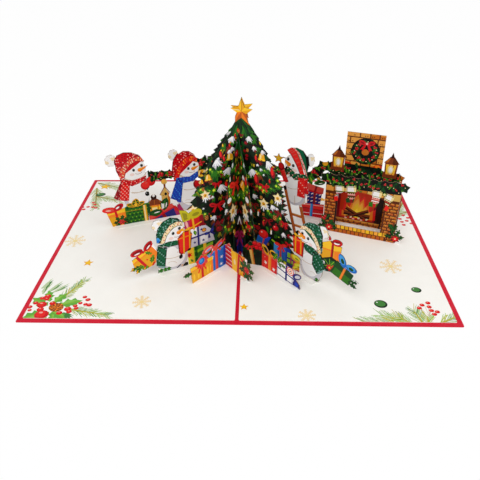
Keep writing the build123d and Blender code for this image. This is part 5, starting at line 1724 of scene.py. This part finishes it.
def print_trunk_run(pen):
    pen.box("fir", -16, -1, 1, 23)
    chance = Random(81)
    for i in range(22):
        sprig(
            pen, chance.uniform(-15, 0), chance.uniform(8, 21), 5, -90 + chance.uniform(-50, 50),
            ("night", "fir", "holly")[i % 3],
        )
    for x in (-14.4, -12, -3.6, -1.6):
        pen.line("night", 0.8, (x, -1), (x + 0.6, 12))
    pen.face("trunk", (-10.2, 13.6), (-7.3, 14.4), (-5.2, -1), (-7.6, -1))
    # Painted shade down the trunk's right side.
    pen.face("brick", (-8.2, 14.2), (-7.3, 14.4), (-5.2, -1), (-6.2, -1))
    bow(pen, -9.2, 16.6, 3.4, "red", "wine")
    for x, y in ((-5.6, 20.2), (-2.6, 19.4), (-4, 16.6), (-1, 16.2), (-12.4, 17.2)):
        bauble(pen, x, y, 2.1, "red", "wine", "coral")


# Page artwork


def twig(pen, start, end, reach, seed, strong=1):
    """A fir twig lying on the page: an olive stem with long fine needles."""
    chance = Random(seed)
    run = hypot(end[0] - start[0], end[1] - start[1])
    heading = degrees(atan2(end[1] - start[1], end[0] - start[0]))
    p = pen.at(start[0], start[1], 1, heading)
    steps = round(run / NEEDLE_PITCH)
    for i in range(steps):
        x = run * i / steps
        for side in (-1, 1):
            length = reach * chance.uniform(0.6, 1) * (1 - 0.35 * x / run)
            turn = radians(chance.uniform(22, 40))
            name = chance.choice(("sprig", "needle", "twig", "sprig")) if strong < 1 else chance.choice(
                ("sprig", "needle", "lime", "sprig", "olive", "pine")
            )
            p.line(name, 0.36, (x, 0), (x + length * cos(turn), side * length * sin(turn)))
    p.face("twig", (0, -0.8), (0.6 * run, -0.5), (run, 0), (0.6 * run, 0.5), (0, 0.8))
    p.line("olive" if strong >= 1 else "wood", 0.4, (0, 0), (0.9 * run, 0))


def snowflake(pen, x, y, size):
    for i in range(8):
        turn = radians(45 * i + 8)
        tip = (x + size * cos(turn), y + size * sin(turn))
        pen.line("flake", 1.2, (x, y), tip)
        for share in (0.34, 0.56, 0.8):
            mid = (x + share * size * cos(turn), y + share * size * sin(turn))
            for side in (-1, 1):
                bend = turn + side * 0.9
                pen.line(
                    "flake", 0.6, mid, (mid[0] + 0.24 * size * cos(bend), mid[1] + 0.24 * size * sin(bend))
                )
    pen.star("cream", x, y, 0.32 * size, 8, 0.5)


def red_berry(pen, x, y, radius):
    pen.oval("red", x, y, radius, 0.86 * radius, 0, 12)
    # A lit face and a pink painted highlight on each berry.
    pen.dot("scarlet", x - 0.15 * radius, y + 0.15 * radius, 0.66 * radius, 10)
    pen.oval("pink", x - 0.2 * radius, y + 0.4 * radius, 0.3 * radius, 0.18 * radius, 0, 7)


def broad_holly(pen, x, y, length, heading, tone):
    leaf(pen, x, y, length, heading, tone, None)
    p = pen.at(x, y, length, heading)
    # A painted highlight along the leaf's upper half.
    p.face("lit_page_holly", (0.05, 0.02), (0.3, 0.12), (0.5, 0.2), (0.85, 0.06), (0.5, 0.03))
    p.line("lime", 0.03, (0.04, 0), (0.9, 0))


def green_drop(pen, x, y, rx, ry, tilt):
    pen.oval("fir", x, y, rx, ry, tilt)
    # A lighter face and a white painted highlight on each drop.
    pen.oval("pine", x - 0.3, y + 0.4, 0.8 * rx, 0.74 * ry, tilt, 14)
    pen.dot("snow", x - 0.5 * rx, y + 0.4 * ry, 0.12 * rx, 6)


def print_left_page(pen):
    pen.box("page", -150, -100, 2, 100)
    # Front corner
    for x, y, turn, length in (
        (-144, -66, 60, 13), (-142, -70, 76, 15), (-138, -70, 52, 15), (-134, -70, 40, 14),
        (-141, -72, 88, 12),
    ):
        for i in range(3):
            p = pen.at(x, y, length * (0.8 + 0.1 * i), turn + 9 * (i - 1))
            p.face("pine" if i % 2 else "sprig", (0, -0.05), (0.5, -0.07), (1, 0), (0.5, 0.07), (0, 0.05))
    for i in range(9):
        p = pen.at(-120, -91, 9 + (i % 3), -18 - 11 * i)
        p.face("pine", (0, -0.06), (0.5, -0.09), (1, 0), (0.5, 0.09), (0, 0.06))
    twig(pen, (-127, -79.5), (-114.6, -55.6), 9.6, 91)
    twig(pen, (-117, -87.4), (-88, -93), 9.6, 92)
    for x, y, length, heading, name in (
        (-133, -84, 16, 150, "page_leaf"), (-132, -90, 17, 205, "page_leaf"),
        (-130, -90, 15, 245, "page_leaf"), (-128, -90, 16, 290, "page_leaf"),
        (-131, -83, 14.5, 58, "page_leaf"), (-127, -84, 18, 18, "page_leaf"),
        (-133, -80, 13, 112, "page_leaf"), (-128, -90, 13, 330, "page_leaf"),
    ):
        broad_holly(pen, x, y, length, heading, name)
    pen.oval("wood", -126.6, -85.6, 5.4, 4.4, -16, 16)
    for ring, count in ((4.3, 11), (2.8, 8), (1.3, 4)):
        for i in range(count):
            turn = 2 * pi * i / count + ring
            pen.oval(
                "orange" if i % 2 else "brick", -126.6 + ring * cos(turn), -85.6 + 0.8 * ring * sin(turn),
                1, 0.6, degrees(turn), 7,
            )
    for x, y, radius in (
        (-142.6, -81.5, 1.9), (-145.4, -85.6, 2), (-144.2, -88.8, 1.5), (-139.6, -76.4, 2),
        (-136.4, -74.6, 2.6), (-136.2, -77.2, 2),
        (-130.6, -81.6, 2.2), (-137.6, -83.2, 3.6), (-137, -88, 2.6), (-134.4, -93, 5),
        (-122.6, -91.2, 2.2), (-118, -87.2, 2.6),
        (-116.2, -89.8, 2), (-113.6, -84, 1.7), (-110.8, -81.2, 1.6), (-112.2, -86.4, 1.7),
        (-106.8, -82.4, 1.7), (-104, -83, 2),
        (-109.4, -74.8, 1.7), (-106.4, -77.6, 1.9),
    ):
        red_berry(pen, x, y, radius)
    # Back corner
    twig(pen, (-143.2, 83), (-134.6, 45.8), 12, 93, 0.5)
    twig(pen, (-139, 66.6), (-114, 58.4), 12, 94, 0.5)
    twig(pen, (-145, 93), (-112, 80), 13, 95, 0.5)
    pen.star("gold", -135.7, 85.5, 5.4)
    pen.star("yellow", -135.9, 85.8, 3.8)
    green_drop(pen, -136, 70.2, 4.6, 3.2, 14)
    for x, y in (
        (-147, 47.2), (-144.8, 43.4), (-142, 47.8), (-139.2, 55.4), (-136.8, 52), (-137.6, 47.6),
        (-134.4, 46.2),
    ):
        red_berry(pen, x, y, 1.7)
    snowflake(pen, -137.5, -5.9, 8.6)
    snowflake(pen, -67.6, -79.3, 6.6)
    pen.star("gold", -118.2, -35.3, 4.4)
    pen.star("yellow", -118.3, -35, 3.1)
    snowflake(pen, -60, 84, 7)
    green_drop(pen, -30, 88, 4, 3, 20)


def print_right_page(pen):
    pen.box("page", -2, -100, 150, 100)
    pen.star("gold", 4.6, -83.4, 3.4)
    pen.star("yellow", 4.5, -83.2, 2.4)
    snowflake(pen, 47.4, -91.4, 6.2)
    snowflake(pen, 115.4, -37, 8.6)
    green_drop(pen, 99.5, -79.1, 4.6, 4, -10)
    green_drop(pen, 127.8, -64, 3.6, 3, -10)
    for start, end, seed in (
        ((112, -97), (97, -89.6), 96), ((114, -97.6), (83, -96.4), 97), ((123.6, -98), (120.4, -84.6), 98),
        ((134, -98), (149, -90), 99),
        ((118, -99), (108, -91.6), 100), ((127, -99), (128.4, -90.6), 101),
    ):
        twig(pen, start, end, 12, seed)
    for x, y in (
        (132.2, -77.6), (129.2, -80.4), (133.2, -81), (125.8, -83.2), (132.4, -84.6), (136, -86.2),
        (133, -88.6),
    ):
        pen.line("warm_shade_and_line", 0.35, (x, y), (129.6, -91), (130.6, -98))
    for x, y in (
        (132.2, -77.6), (127.6, -79.8), (132, -81.6), (125, -82.8), (132.6, -85.2), (136.2, -86.4),
        (133.6, -88.8),
    ):
        red_berry(pen, x, y, 1.8)
    twig(pen, (148, 60), (138, 38), 10, 102, 0.5)
    twig(pen, (149, 42), (132, 34), 10, 103, 0.5)
    for x, y in (
        (137.9, 29.6), (138.5, 24.9), (143.1, 26.5), (139, 20.2), (145.1, 31.3), (142, 35.5), (146, 22.4)
    ):
        red_berry(pen, x, y, 1.7)
    pen.star("gold", 74, 62, 4)
    snowflake(pen, 120, 82, 7)
    green_drop(pen, 44, 86, 3.6, 3, 10)


# Laying the print on the sheets

PAGE_TOP = 0.9
SHEET = 0.4
SAME_PLANE = 0.05
SAME_WAY = 0.995
LEAST_AREA = 0.01
WELD = 0.0005


class Panel:
    """One flat run of a sheet, with x along its foot from the fold and y up from the page, in millimetres.

    A lying panel is a page, printed on its upper side only.
    """

    def __init__(self, node, foot, heading, artwork, lying=False):
        turn = radians(heading)
        self.node = node
        self.artwork = artwork
        self.lying = lying
        self.along = Vector((cos(turn), sin(turn), 0))
        self.front = Vector((0, 0, 1)) if lying else Vector((sin(turn), -cos(turn), 0))
        self.up = Vector((0, 1, 0)) if lying else Vector((0, 0, 1))
        self.origin = Vector((*foot, PAGE_TOP - (SHEET / 2 if lying else 0)))

    def at(self, x, forward=0.0):
        spot = self.origin + self.along * x + self.front * forward
        return spot.x, spot.y

    def outlines(self):
        """The cut edges of the panel's front face, holes included, each once and anticlockwise."""
        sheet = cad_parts[self.node]
        world = sheet.matrix_world
        turn = world.to_3x3()
        edges = set()
        for polygon in sheet.data.polygons:
            if (turn @ polygon.normal).normalized().dot(self.front) < SAME_WAY:
                continue
            corners = [(world @ sheet.data.vertices[v].co) / MM - self.origin for v in polygon.vertices]
            if any(abs(corner.dot(self.front) - SHEET / 2) > SAME_PLANE for corner in corners):
                continue
            flat = [(round(c.dot(self.along), 3), round(c.dot(self.up), 3)) for c in corners]
            edges.update(zip(flat, flat[1:] + flat[:1]))
        onward = {}
        for start, end in edges:
            if (end, start) not in edges:
                onward.setdefault(start, []).append(end)
        if not onward:
            raise RuntimeError(f"{self.node} has no face at this panel")
        loops = []
        while onward:
            start = next(iter(onward))
            loop, here = [], start
            while here in onward:
                loop.append(here)
                ends = onward[here]
                following = ends.pop()
                if not ends:
                    del onward[here]
                here = following
            area = sum(a[0] * b[1] - b[0] * a[1] for a, b in zip(loop, loop[1:] + loop[:1]))
            if abs(area) > LEAST_AREA:
                loops.append(loop if area > 0 else loop[::-1])
        return loops

    def flattened(self):
        """The artwork as triangles that don't overlap, cut to the sheet, with an ink for each."""
        pen = Pen()
        self.artwork(pen)
        loops = self.outlines()
        xs = [x for loop in loops for x, _ in loop]
        ys = [y for loop in loops for _, y in loop]
        shapes = []
        for name, outline in pen.shapes:
            inside_x = min(x for x, _ in outline) < max(xs) and max(x for x, _ in outline) > min(xs)
            inside_y = min(y for _, y in outline) < max(ys) and max(y for _, y in outline) > min(ys)
            if inside_x and inside_y:
                shapes.append((name, outline))
        points, edges = [], []
        for outline in loops + [outline for _, outline in shapes]:
            base, count = len(points), len(outline)
            points.extend(Vector(point) for point in outline)
            edges.extend((base + i, base + (i + 1) % count) for i in range(count))
        spots, _, triangles, _, _, _ = delaunay_2d_cdt(points, edges, [], 0, WELD, False)
        middles = np.array([[sum(spots[v][axis] for v in face) / 3 for axis in (0, 1)] for face in triangles])
        inside = np.zeros(len(triangles), bool)
        for loop in loops:
            inside[within(middles, loop)] ^= True
        inks = np.full(len(triangles), INKS.index("snow"))
        for name, outline in shapes:
            inks[within(middles, outline)] = INKS.index(name)
        kept = [triangles[i] for i in np.nonzero(inside)[0]]
        used = {v: i for i, v in enumerate(sorted({v for face in kept for v in face}))}
        return [spots[v] for v in used], [[used[v] for v in face] for face in kept], inks[inside]


def within(spots, outline):
    """The numbers of the spots that lie inside an outline."""
    ring = np.array(outline)
    near = np.nonzero(((spots > ring.min(axis=0)) & (spots < ring.max(axis=0))).all(axis=1))[0]
    x, y = spots[near].T
    inside = np.zeros(len(near), bool)
    for (x0, y0), (x1, y1) in zip(outline, outline[1:] + outline[:1]):
        if y0 != y1:
            inside ^= ((y0 > y) != (y1 > y)) & (x < (x1 - x0) * (y - y0) / (y1 - y0) + x0)
    return near[inside]


def print_sheet(name, panels, stock, inks):
    """One skin of print over the panels of a sheet, on both faces of the card."""
    points, triangles, colours = [], [], []
    tones = [(*getattr(inks, name_of), 1.0) for name_of in INKS]
    for panel in panels:
        spots, faces, tints = panel.flattened()
        for side in ((1,) if panel.lying else (1, -1)):
            base = len(points)
            lifted = panel.origin + panel.front * (side * SHEET / 2)
            raised = panel.front * (side * stock.lift)
            for spot in spots:
                points.append((lifted + panel.along * spot.x + panel.up * spot.y) * MM + raised)
            for face in faces:
                ring = [base + v for v in face]
                triangles.append(ring if side > 0 else ring[::-1])
            colours.extend(tints)
    mesh = bpy.data.meshes.new(name)
    mesh.from_pydata(points, [], triangles)
    attribute = mesh.color_attributes.new("ink", "FLOAT_COLOR", "CORNER")
    values = []
    for polygon, tint in zip(mesh.polygons, colours):
        values.extend(tones[tint] * len(polygon.vertices))
    attribute.data.foreach_set("color", values)
    mesh.color_attributes.active_color = attribute
    piece = bpy.data.objects.new(name, mesh)
    bpy.context.collection.objects.link(piece)
    piece.data.materials.append(finish_named("printed_card", stock))
    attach(piece, "root")
    return piece


def finish_named(name, stock):
    """A finish, made the first time that it is asked for."""
    known = bpy.data.materials.get(name)
    if known:
        return known
    if name == "crimson_board":
        return paper_like(name, stock.cover, 0.55, stock, 0.2, 1.4)
    if name == "page_paper":
        return paper_like(name, bpy.context.scene.card_inks.page, 0.7, stock, 0.15)
    if name in EDGES:
        return paper_like(name, getattr(stock, EDGES[name]), 0.75, stock, 0.15, 1.2, stock.core)
    return paper_like(name, None, stock.gloss, stock, 0.16, 0.8)


# Where the sheets stand, with the same folds as in the part


def folded(node, foot, *runs):
    """The runs of a sheet that meet at one fold, each with its heading and its artwork."""
    return [Panel(node, foot, heading, artwork) for heading, artwork in runs]


def both_sides(node, foot, heading, draw, *options):
    """Two runs whose artwork is drawn for the left side, -1, and the right side, 1."""
    halves = [(side * heading, lambda pen, side=side: draw(pen, side, *options)) for side in (-1, 1)]
    return folded(node, foot, *halves)


def page(node, artwork):
    return [Panel(node, (0, 0), 0, artwork, True)]


TREE = folded("tree_front", (0, -17), (27, print_tree_left), (-27, print_tree_right))
SCENE = folded("back_scene", (0, 54.5), (19.5, print_scene_left), (-19.5, print_scene_right))
FIREPLACE = Panel("fireplace_front", SCENE[1].at(83.65, 16), -19.5, print_fireplace)
SIDE_WALLS = [Panel("fireplace_front", FIREPLACE.at(x), 70.5, print_side_wall) for x in (-4.6, 52.4)]
SHEETS = {
    "left_page": ("page_print", page("left_page", print_left_page)),
    "right_page": ("page_print", page("right_page", print_right_page)),
    "tree_front": ("tree_print", [*TREE, Panel("tree_front", TREE[1].at(35), -41.5, print_snowman_run)]),
    "tree_back": ("tree_print", both_sides("tree_back", (0, -16.151), 27, print_far_half)),
    "tree_front_wings": ("tree_print", both_sides("tree_front_wings", (0, -18.065), -63, print_wing, True)),
    "tree_back_wings": ("tree_print", both_sides("tree_back_wings", (0, -15.086), 63, print_wing, False)),
    "back_scene": ("scene_print", SCENE),
    "ladder_snowman": ("snowman_print", [Panel("ladder_snowman", (0, 20), -22, print_ladder)]),
    "fireplace_front": ("hearth_print", [FIREPLACE, *SIDE_WALLS]),
    "gift_fence_left": (
        "gift_print",
        folded("gift_fence_left", (-10.4, -35.1), (46, print_fence_left), (-49.8, print_crossing)),
    ),
    "gift_fence_right": (
        "gift_print",
        folded("gift_fence_right", (17.4, -37.1), (-45.6, print_fence_right), (-13, print_trunk_run)),
    ),
}
BOARDS = {
    "card_cover": "crimson_board",
    "left_page": "page_paper",
    "right_page": "page_paper",
    **dict.fromkeys(("tree_front", "tree_back", "tree_front_wings", "tree_back_wings"), "fir_card"),
}
EDGES = {"fir_card": "fir_edge", "warm_card": "warm_edge"}


# Operators

TABLE_HALF = 4.0
TABLE_DROP = 0.05 * MM
TABLE_WHITE = 0.97
SENSOR = 36.0
NEAREST = 0.01
AIM = Vector((0, 0, 0.03))
LAMP_SIZE = 0.7


class CardPrinter:
    """Prints the sheets that an operator names."""

    bl_options = {"REGISTER", "UNDO"}
    sheets = ()

    def execute(self, context):
        for name in self.sheets:
            slot, panels = SHEETS[name]
            print_sheet(f"{name}_print", panels, context.scene.card_stock, context.scene.card_inks)
        return {"FINISHED"}


class CARD_OT_cut_paper(bpy.types.Operator):
    """Give the cover, the pages and the cut edges of the standing sheets their paper"""

    bl_idname = "card.cut_paper"
    bl_label = "Cover, pages and card"

    def execute(self, context):
        for name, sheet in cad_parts.items():
            finish = finish_named(BOARDS.get(name, "warm_card"), context.scene.card_stock)
            for place in sheet.material_slots:
                place.link = "OBJECT"
                place.material = finish
            if not sheet.material_slots:
                raise RuntimeError(f"{name} has no material slot")
        return {"FINISHED"}


class CARD_OT_print_pages(CardPrinter, bpy.types.Operator):
    """Print twigs, berries, holly, stars and snowflakes on the two pages"""

    bl_idname = "card.print_pages"
    bl_label = "Pages"
    sheets = ("left_page", "right_page")


class CARD_OT_print_tree(CardPrinter, bpy.types.Operator):
    """Print the tree's four sheets, with the snowmen and gifts that stand beside it"""

    bl_idname = "card.print_tree"
    bl_label = "Tree and its snowmen"
    sheets = ("tree_front", "tree_back", "tree_front_wings", "tree_back_wings")


class CARD_OT_print_back_scene(CardPrinter, bpy.types.Operator):
    """Print the sheet behind: two snowmen, gifts, garland, fire and chimney"""

    bl_idname = "card.print_back_scene"
    bl_label = "Scene behind"
    sheets = ("back_scene",)


class CARD_OT_print_ladder(CardPrinter, bpy.types.Operator):
    """Print the snowman on the ladder"""

    bl_idname = "card.print_ladder"
    bl_label = "Snowman on the ladder"
    sheets = ("ladder_snowman",)


class CARD_OT_print_fireplace(CardPrinter, bpy.types.Operator):
    """Print the fireplace's front and side walls"""

    bl_idname = "card.print_fireplace"
    bl_label = "Fireplace"
    sheets = ("fireplace_front",)


class CARD_OT_print_gifts(CardPrinter, bpy.types.Operator):
    """Print the two low strips of gifts in front of the tree"""

    bl_idname = "card.print_gifts"
    bl_label = "Gifts in front"
    sheets = ("gift_fence_left", "gift_fence_right")


def pale_ground(owner, colour, share, lit):
    """White to the camera and in reflections by that share, and otherwise as lit."""
    tree = Tree(owner)
    path = tree.node("LightPath")
    seen = path["Is Camera Ray"] + path["Is Glossy Ray"] + path["Is Transmission Ray"]
    white = tree.node("Background" if lit else "Emission", {}, {"Color": (1, 1, 1, 1), "Strength": 1.0})
    if lit:
        plain = tree.node("Background", {}, {"Color": (*colour, 1), "Strength": lit})["Background"]
        kind, shown = "OutputWorld", white["Background"]
    else:
        plain = tree.node("BsdfDiffuse", {}, {"Color": (*colour, 1)})["BSDF"]
        kind, shown = "OutputMaterial", white["Emission"]
    mixed = tree.node("MixShader", {}, {0: seen * share, 1: plain, 2: shown})["Shader"]
    tree.node(kind, {}, {"Surface": mixed})


class CARD_OT_set_stage(bpy.types.Operator):
    """Set up the white table, the lamps and the camera"""

    bl_idname = "card.set_stage"
    bl_label = "Studio"

    def execute(self, context):
        scene, studio = context.scene, context.scene.card_studio
        reach = TABLE_HALF
        mesh = bpy.data.meshes.new("table")
        corners = [(-reach, -reach, 0), (reach, -reach, 0), (reach, reach, 0), (-reach, reach, 0)]
        mesh.from_pydata(corners, [], [(0, 1, 2, 3)])
        table = bpy.data.objects.new("table", mesh)
        table.location.z = -TABLE_DROP
        scene.collection.objects.link(table)
        finish = bpy.data.materials.new("white_table")
        pale_ground(finish, studio.floor, TABLE_WHITE, 0)
        mesh.materials.append(finish)
        scene.world = bpy.data.worlds.new("white_room")
        pale_ground(scene.world, (1.0, 1.0, 1.0), 1.0, studio.sky)
        for name, power, place in (
            ("key_lamp", studio.key, (-0.16, -0.66, 0.84)),
            ("fill_lamp", studio.fill, (0.7, -0.3, 0.7)),
        ):
            lamp = bpy.data.lights.new(name, "AREA")
            lamp.energy = power
            lamp.size = LAMP_SIZE
            holder = bpy.data.objects.new(name, lamp)
            holder.location = place
            holder.rotation_euler = (AIM - Vector(place)).to_track_quat("-Z", "Y").to_euler()
            scene.collection.objects.link(holder)
        camera = bpy.data.cameras.new("camera")
        camera.lens = studio.lens
        camera.sensor_width = SENSOR
        camera.clip_start = NEAREST
        viewer = bpy.data.objects.new("camera", camera)
        turn = Matrix.Rotation(studio.yaw, 3, "Z") @ Matrix.Rotation(pi / 2 - studio.pitch, 3, "X")
        turn @= Matrix.Rotation(-studio.roll, 3, "Z")
        viewer.matrix_world = Matrix.Translation(studio.place) @ turn.to_4x4()
        scene.collection.objects.link(viewer)
        scene.camera = viewer
        scene.view_settings.view_transform = "Standard"
        return {"FINISHED"}


OPERATORS = (
    CARD_OT_cut_paper,
    CARD_OT_print_pages,
    CARD_OT_print_tree,
    CARD_OT_print_back_scene,
    CARD_OT_print_ladder,
    CARD_OT_print_fireplace,
    CARD_OT_print_gifts,
    CARD_OT_set_stage,
)


class CARD_PT_sidebar(bpy.types.Panel):
    bl_label = "Pop-up card"
    bl_space_type = "VIEW_3D"
    bl_region_type = "UI"
    bl_category = "Card"

    def draw(self, context):
        for operator in OPERATORS:
            self.layout.operator(operator.bl_idname)
        for name, kind in SETTINGS.items():
            column = self.layout.column(heading=kind.__doc__)
            for field in kind.__annotations__:
                column.prop(getattr(context.scene, name), field)


def register():
    for kind in (*SETTINGS.values(), *OPERATORS, CARD_PT_sidebar):
        bpy.utils.register_class(kind)
    for name, kind in SETTINGS.items():
        setattr(bpy.types.Scene, name, bpy.props.PointerProperty(type=kind))


def unregister():
    for name in SETTINGS:
        delattr(bpy.types.Scene, name)
    for kind in reversed((*SETTINGS.values(), *OPERATORS, CARD_PT_sidebar)):
        bpy.utils.unregister_class(kind)


def main():
    register()
    bpy.ops.card.cut_paper()
    bpy.ops.card.print_pages()
    bpy.ops.card.print_tree()
    bpy.ops.card.print_back_scene()
    bpy.ops.card.print_ladder()
    bpy.ops.card.print_fireplace()
    bpy.ops.card.print_gifts()
    bpy.ops.card.set_stage()


if __name__ == "__main__":
    main()
